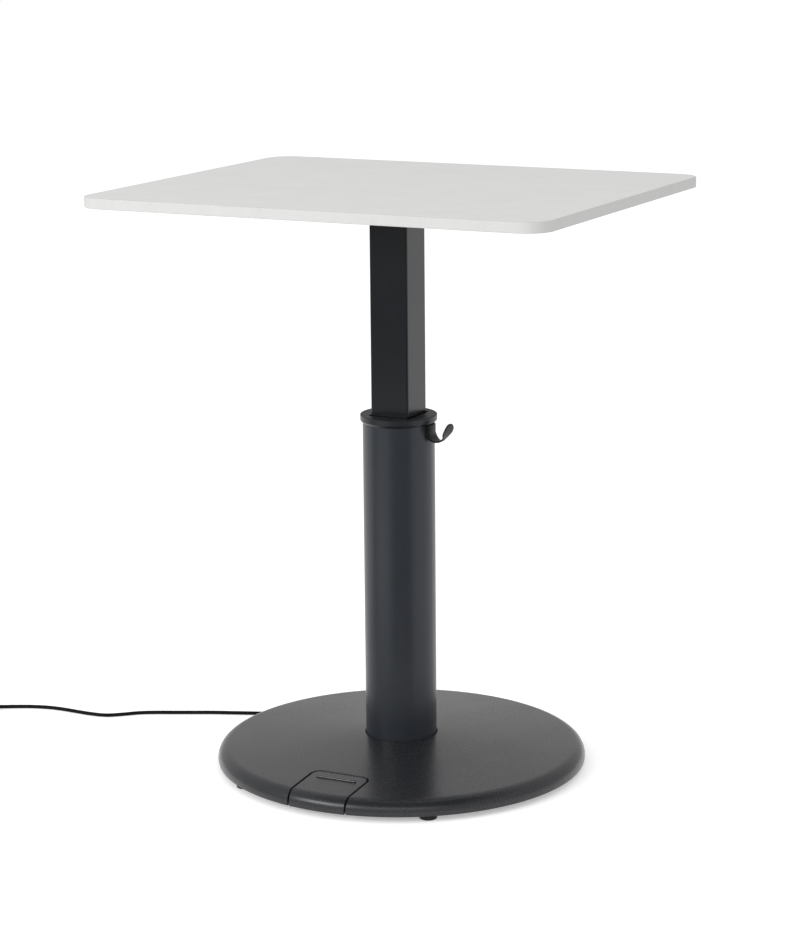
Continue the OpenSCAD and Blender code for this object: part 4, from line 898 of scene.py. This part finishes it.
def nickel():
    """Nickel-plated brass pins of the plug: bright and slightly warm."""
    return surface("nickel plated brass", "#C4C0B8", "#D2CEC6", 3, ("noise", 0.4, 0.005), 0.22, 0.04,
                   Metallic=1.0)


def nylon_web():
    """Hook-and-loop tie: black nylon pile of loops, 0.7 mm apart."""
    return surface("looped nylon tie", "#0F0F10", "#202022", 2.5, ("cells", 0.7, 0.15), 0.8,
                   **{"Sheen Weight": 0.3})


FINISHES = {
    white_melamine: ["worktop"],
    white_edge_band: ["edge_band"],
    black_tube_coat: ["inner_tube"],
    black_pressed_coat: ["bag_hook"],
    graphite_coat: ["column_tube"],
    textured_coat: ["base_casting", "pedal"],
    moulded_nylon: ["collar"],
    moulded_abs: ["lower_guide", "motor_mount", "gearbox_spacer", "control_box", "front_switch",
                  "rear_switch"],
    bar_insert: ["tactile_bar"],
    glide_polymer: [f"glide_{n}" for n in range(1, 6)],
    acetal: ["guide_pads", "spindle_nut", "front_plunger", "rear_plunger"],
    cord_jacket: ["power_cord", "cord_coil", "cord_tail", "coiled_lead", "motor_lead", "switch_lead"],
    moulded_pvc: ["strain_relief", "plug"],
    black_steel: ["top_plate", "column_flange", "bottom_cover", "pedal_bracket"],
    zinc_plate: ["plate_screws", "flange_bolts", "cover_screws", "box_screws", "bracket_screws"],
    bright_steel: ["spindle", "pedal_pin", "pedal_springs"],
    motor_steel: ["motor", "gearbox", "nut_post"],
    brass: ["top_inserts"],
    nickel: ["plug_pins"],
    nylon_web: ["cord_tie"],
}
# CAD nodes whose finish the new pieces share
DRESSED = {
    "power_cord": [cord, curly_lead, *inner_leads], "plug": [plug], "bag_hook": [hook], "cord_tie": [tie],
    "pedal_springs": springs, "tactile_bar": [bar], "base_casting": [base_top], "pedal": [pedal_top],
}
for make, names in FINISHES.items():
    made = make()
    for name in names:
        for piece in (NODES[name], *DRESSED.get(name, ())):
            piece.data.materials.clear()
            piece.data.materials.append(made)


# Studio. Strengths are shares of full white. The lift is the white that the floor gives off
WALLS_DIFFUSE = 0.84
WALLS_GLOSSY = 0.705
WALLS_DARK = 0.08
FLOOR_LIFT = 0.38
FLOOR_DIM = 0.25
FLOOR_HALF = 14

# Where the dark zones and the lit patch begin and end. A zone's spread is the cosine of the angle from
# its middle, and its reach is the distance from the column's axis in metres
WALLS_DARK_TO, WALLS_DARK_SPREAD = (38, 66), (0.60, 0.96)
FLOOR_DARK_TO, FLOOR_DARK_SPREAD, FLOOR_DARK_REACH = (0, 0), (0.26, 0.56), (0.27, 0.80)
PATCH_TO, PATCH_SPREAD, PATCH_REACHES = (-27, 0), (0.84, 0.97), ((0.6, 0.9), (2.5, 2.2))

# Soft boxes in front: name, turn and rise in degrees as seen from the column's foot, power in watts
LAMP_AIM = (0, 0, 0.2)
LAMP_DISTANCE = 3.5
LAMP_WIDTH, LAMP_HEIGHT = 1.7, 0.9
LAMPS = (("soft box front left", (-24, 27), 33), ("fill box front", (4, 27), 6),
         ("fill box front right", (32, 27), 6))


def heading_to(turn, rise):
    """Unit vector towards a lamp or wall, by its turn from the front, -Y, to the right, and its rise."""
    turn, rise = math.radians(turn), math.radians(rise)
    return (math.sin(turn) * math.cos(rise), -math.cos(turn) * math.cos(rise), math.sin(rise))


def ray_kinds(tree):
    """Light path node, and whether a ray is glossy or goes through something clear."""
    rays = add_node(tree, "ShaderNodeLightPath")
    shiny = add_node(tree, "ShaderNodeMath", {"operation": "MAXIMUM"}, None,
                     {0: rays.outputs["Is Glossy Ray"], 1: rays.outputs["Is Transmission Ray"]})
    return rays, shiny


def make_world():
    """White studio. Camera rays see plain white and diffuse rays an even light. Glossy rays see white
    walls that darken high up at the front right, above where the photographer stands."""
    world = bpy.data.worlds.new("studio")
    bpy.context.scene.world = world
    tree = empty_tree(world)
    place = add_node(tree, "ShaderNodeTexCoord")
    facing = add_node(tree, "ShaderNodeVectorMath", {"operation": "DOT_PRODUCT"},
                      {1: heading_to(*WALLS_DARK_TO)}, {0: place.outputs["Generated"]})
    start, full = WALLS_DARK_SPREAD
    walls = add_node(tree, "ShaderNodeMapRange", {"interpolation_type": "SMOOTHSTEP"},
                     {"From Min": start, "From Max": full, "To Min": WALLS_GLOSSY, "To Max": WALLS_DARK},
                     {"Value": facing.outputs["Value"]})
    rays, shiny = ray_kinds(tree)
    unseen = add_node(tree, "ShaderNodeMix", {"data_type": "FLOAT"}, {2: WALLS_DIFFUSE},
                      {0: shiny.outputs["Value"], 3: walls.outputs["Result"]})
    strength = add_node(tree, "ShaderNodeMix", {"data_type": "FLOAT"}, {3: 1.0},
                        {0: rays.outputs["Is Camera Ray"], 2: unseen.outputs[0]})
    light = add_node(tree, "ShaderNodeBackground", values={"Color": (1, 1, 1, 1)},
                     links={"Strength": strength.outputs[0]})
    add_node(tree, "ShaderNodeOutputWorld", links={"Surface": light.outputs["Background"]})


def make_floor():
    """Matt white floor. It keeps the desk's shadow, and a share of white is added where camera,
    glossy and transmission rays see it, so that the clear floor reads as white. For glossy rays its
    front is darker, as a studio's floor is where the light ends before the camera, but for a lit patch
    on the left, which gives the column its soft stripe."""
    half = FLOOR_HALF
    floor = mesh_piece("floor", [(-half, -half, 0), (half, -half, 0), (half, half, 0), (-half, half, 0)],
                       [(0, 1, 2, 3)], smooth=False)
    material = bpy.data.materials.new("white paper sweep")
    tree = empty_tree(material)
    rays, shiny = ray_kinds(tree)
    seen = add_node(tree, "ShaderNodeMath", {"operation": "MAXIMUM"}, None,
                    {0: rays.outputs["Is Camera Ray"], 1: shiny.outputs["Value"]})
    lift = add_node(tree, "ShaderNodeMath", {"operation": "MULTIPLY"}, {1: FLOOR_LIFT},
                    {0: seen.outputs["Value"]})
    paper = add_node(tree, "ShaderNodeBsdfDiffuse", values={"Color": linear("#EFEFEF")})
    glow = add_node(tree, "ShaderNodeEmission", values={"Color": (1, 1, 1, 1)},
                    links={"Strength": lift.outputs["Value"]})
    lit = add_node(tree, "ShaderNodeAddShader", None, None,
                   {0: paper.outputs["BSDF"], 1: glow.outputs["Emission"]})
    place = add_node(tree, "ShaderNodeTexCoord").outputs["Object"]
    way = add_node(tree, "ShaderNodeVectorMath", {"operation": "NORMALIZE"}, None, {0: place})
    reach = add_node(tree, "ShaderNodeVectorMath", {"operation": "LENGTH"}, None, {0: place})
    zones = []
    for middle, spread, reaches in ((FLOOR_DARK_TO, FLOOR_DARK_SPREAD, (FLOOR_DARK_REACH,)),
                                    (PATCH_TO, PATCH_SPREAD, PATCH_REACHES)):
        facing = add_node(tree, "ShaderNodeVectorMath", {"operation": "DOT_PRODUCT"},
                          {1: heading_to(*middle)}, {0: way.outputs["Vector"]})
        zone = add_node(tree, "ShaderNodeMapRange", {"interpolation_type": "SMOOTHSTEP"},
                        {"From Min": spread[0], "From Max": spread[1]}, {"Value": facing.outputs["Value"]})
        for start, full in reaches:
            within = add_node(tree, "ShaderNodeMapRange", {"interpolation_type": "SMOOTHSTEP"},
                              {"From Min": start, "From Max": full}, {"Value": reach.outputs["Value"]})
            zone = add_node(tree, "ShaderNodeMath", {"operation": "MULTIPLY"}, None,
                            {0: zone.outputs[0], 1: within.outputs["Result"]})
        zones.append(zone.outputs["Value"])
    dark, patch = zones
    clear = add_node(tree, "ShaderNodeMath", {"operation": "SUBTRACT"}, {0: 1.0}, {1: patch})
    unlit = add_node(tree, "ShaderNodeMath", {"operation": "MULTIPLY"}, None,
                     {0: dark, 1: clear.outputs["Value"]})
    share = add_node(tree, "ShaderNodeMath", {"operation": "MULTIPLY"}, None,
                     {0: unlit.outputs["Value"], 1: rays.outputs["Is Glossy Ray"]})
    dim = add_node(tree, "ShaderNodeEmission", values={"Color": (1, 1, 1, 1), "Strength": FLOOR_DIM})
    both = add_node(tree, "ShaderNodeMixShader", None, None,
                    {0: share.outputs["Value"], 1: lit.outputs["Shader"], 2: dim.outputs["Emission"]})
    add_node(tree, "ShaderNodeOutputMaterial", links={"Surface": both.outputs["Shader"]})
    floor.data.materials.append(material)


def make_lamp(name, heading, power):
    """Soft box that stands off the column's foot along a heading and is aimed at the common point."""
    data = bpy.data.lights.new(name, "AREA")
    data.shape = "RECTANGLE"
    data.size = LAMP_WIDTH
    data.size_y = LAMP_HEIGHT
    data.energy = power
    lamp = add_object(name, data)
    place = LAMP_DISTANCE * Vector(heading_to(*heading))
    turn = (place - Vector(LAMP_AIM)).to_track_quat("Z", "Y").to_matrix().to_4x4()
    lamp.matrix_world = Matrix.Translation(place) @ turn


make_world()
make_floor()
for lamp in LAMPS:
    make_lamp(*lamp)
bpy.context.scene.view_settings.view_transform = "Standard"
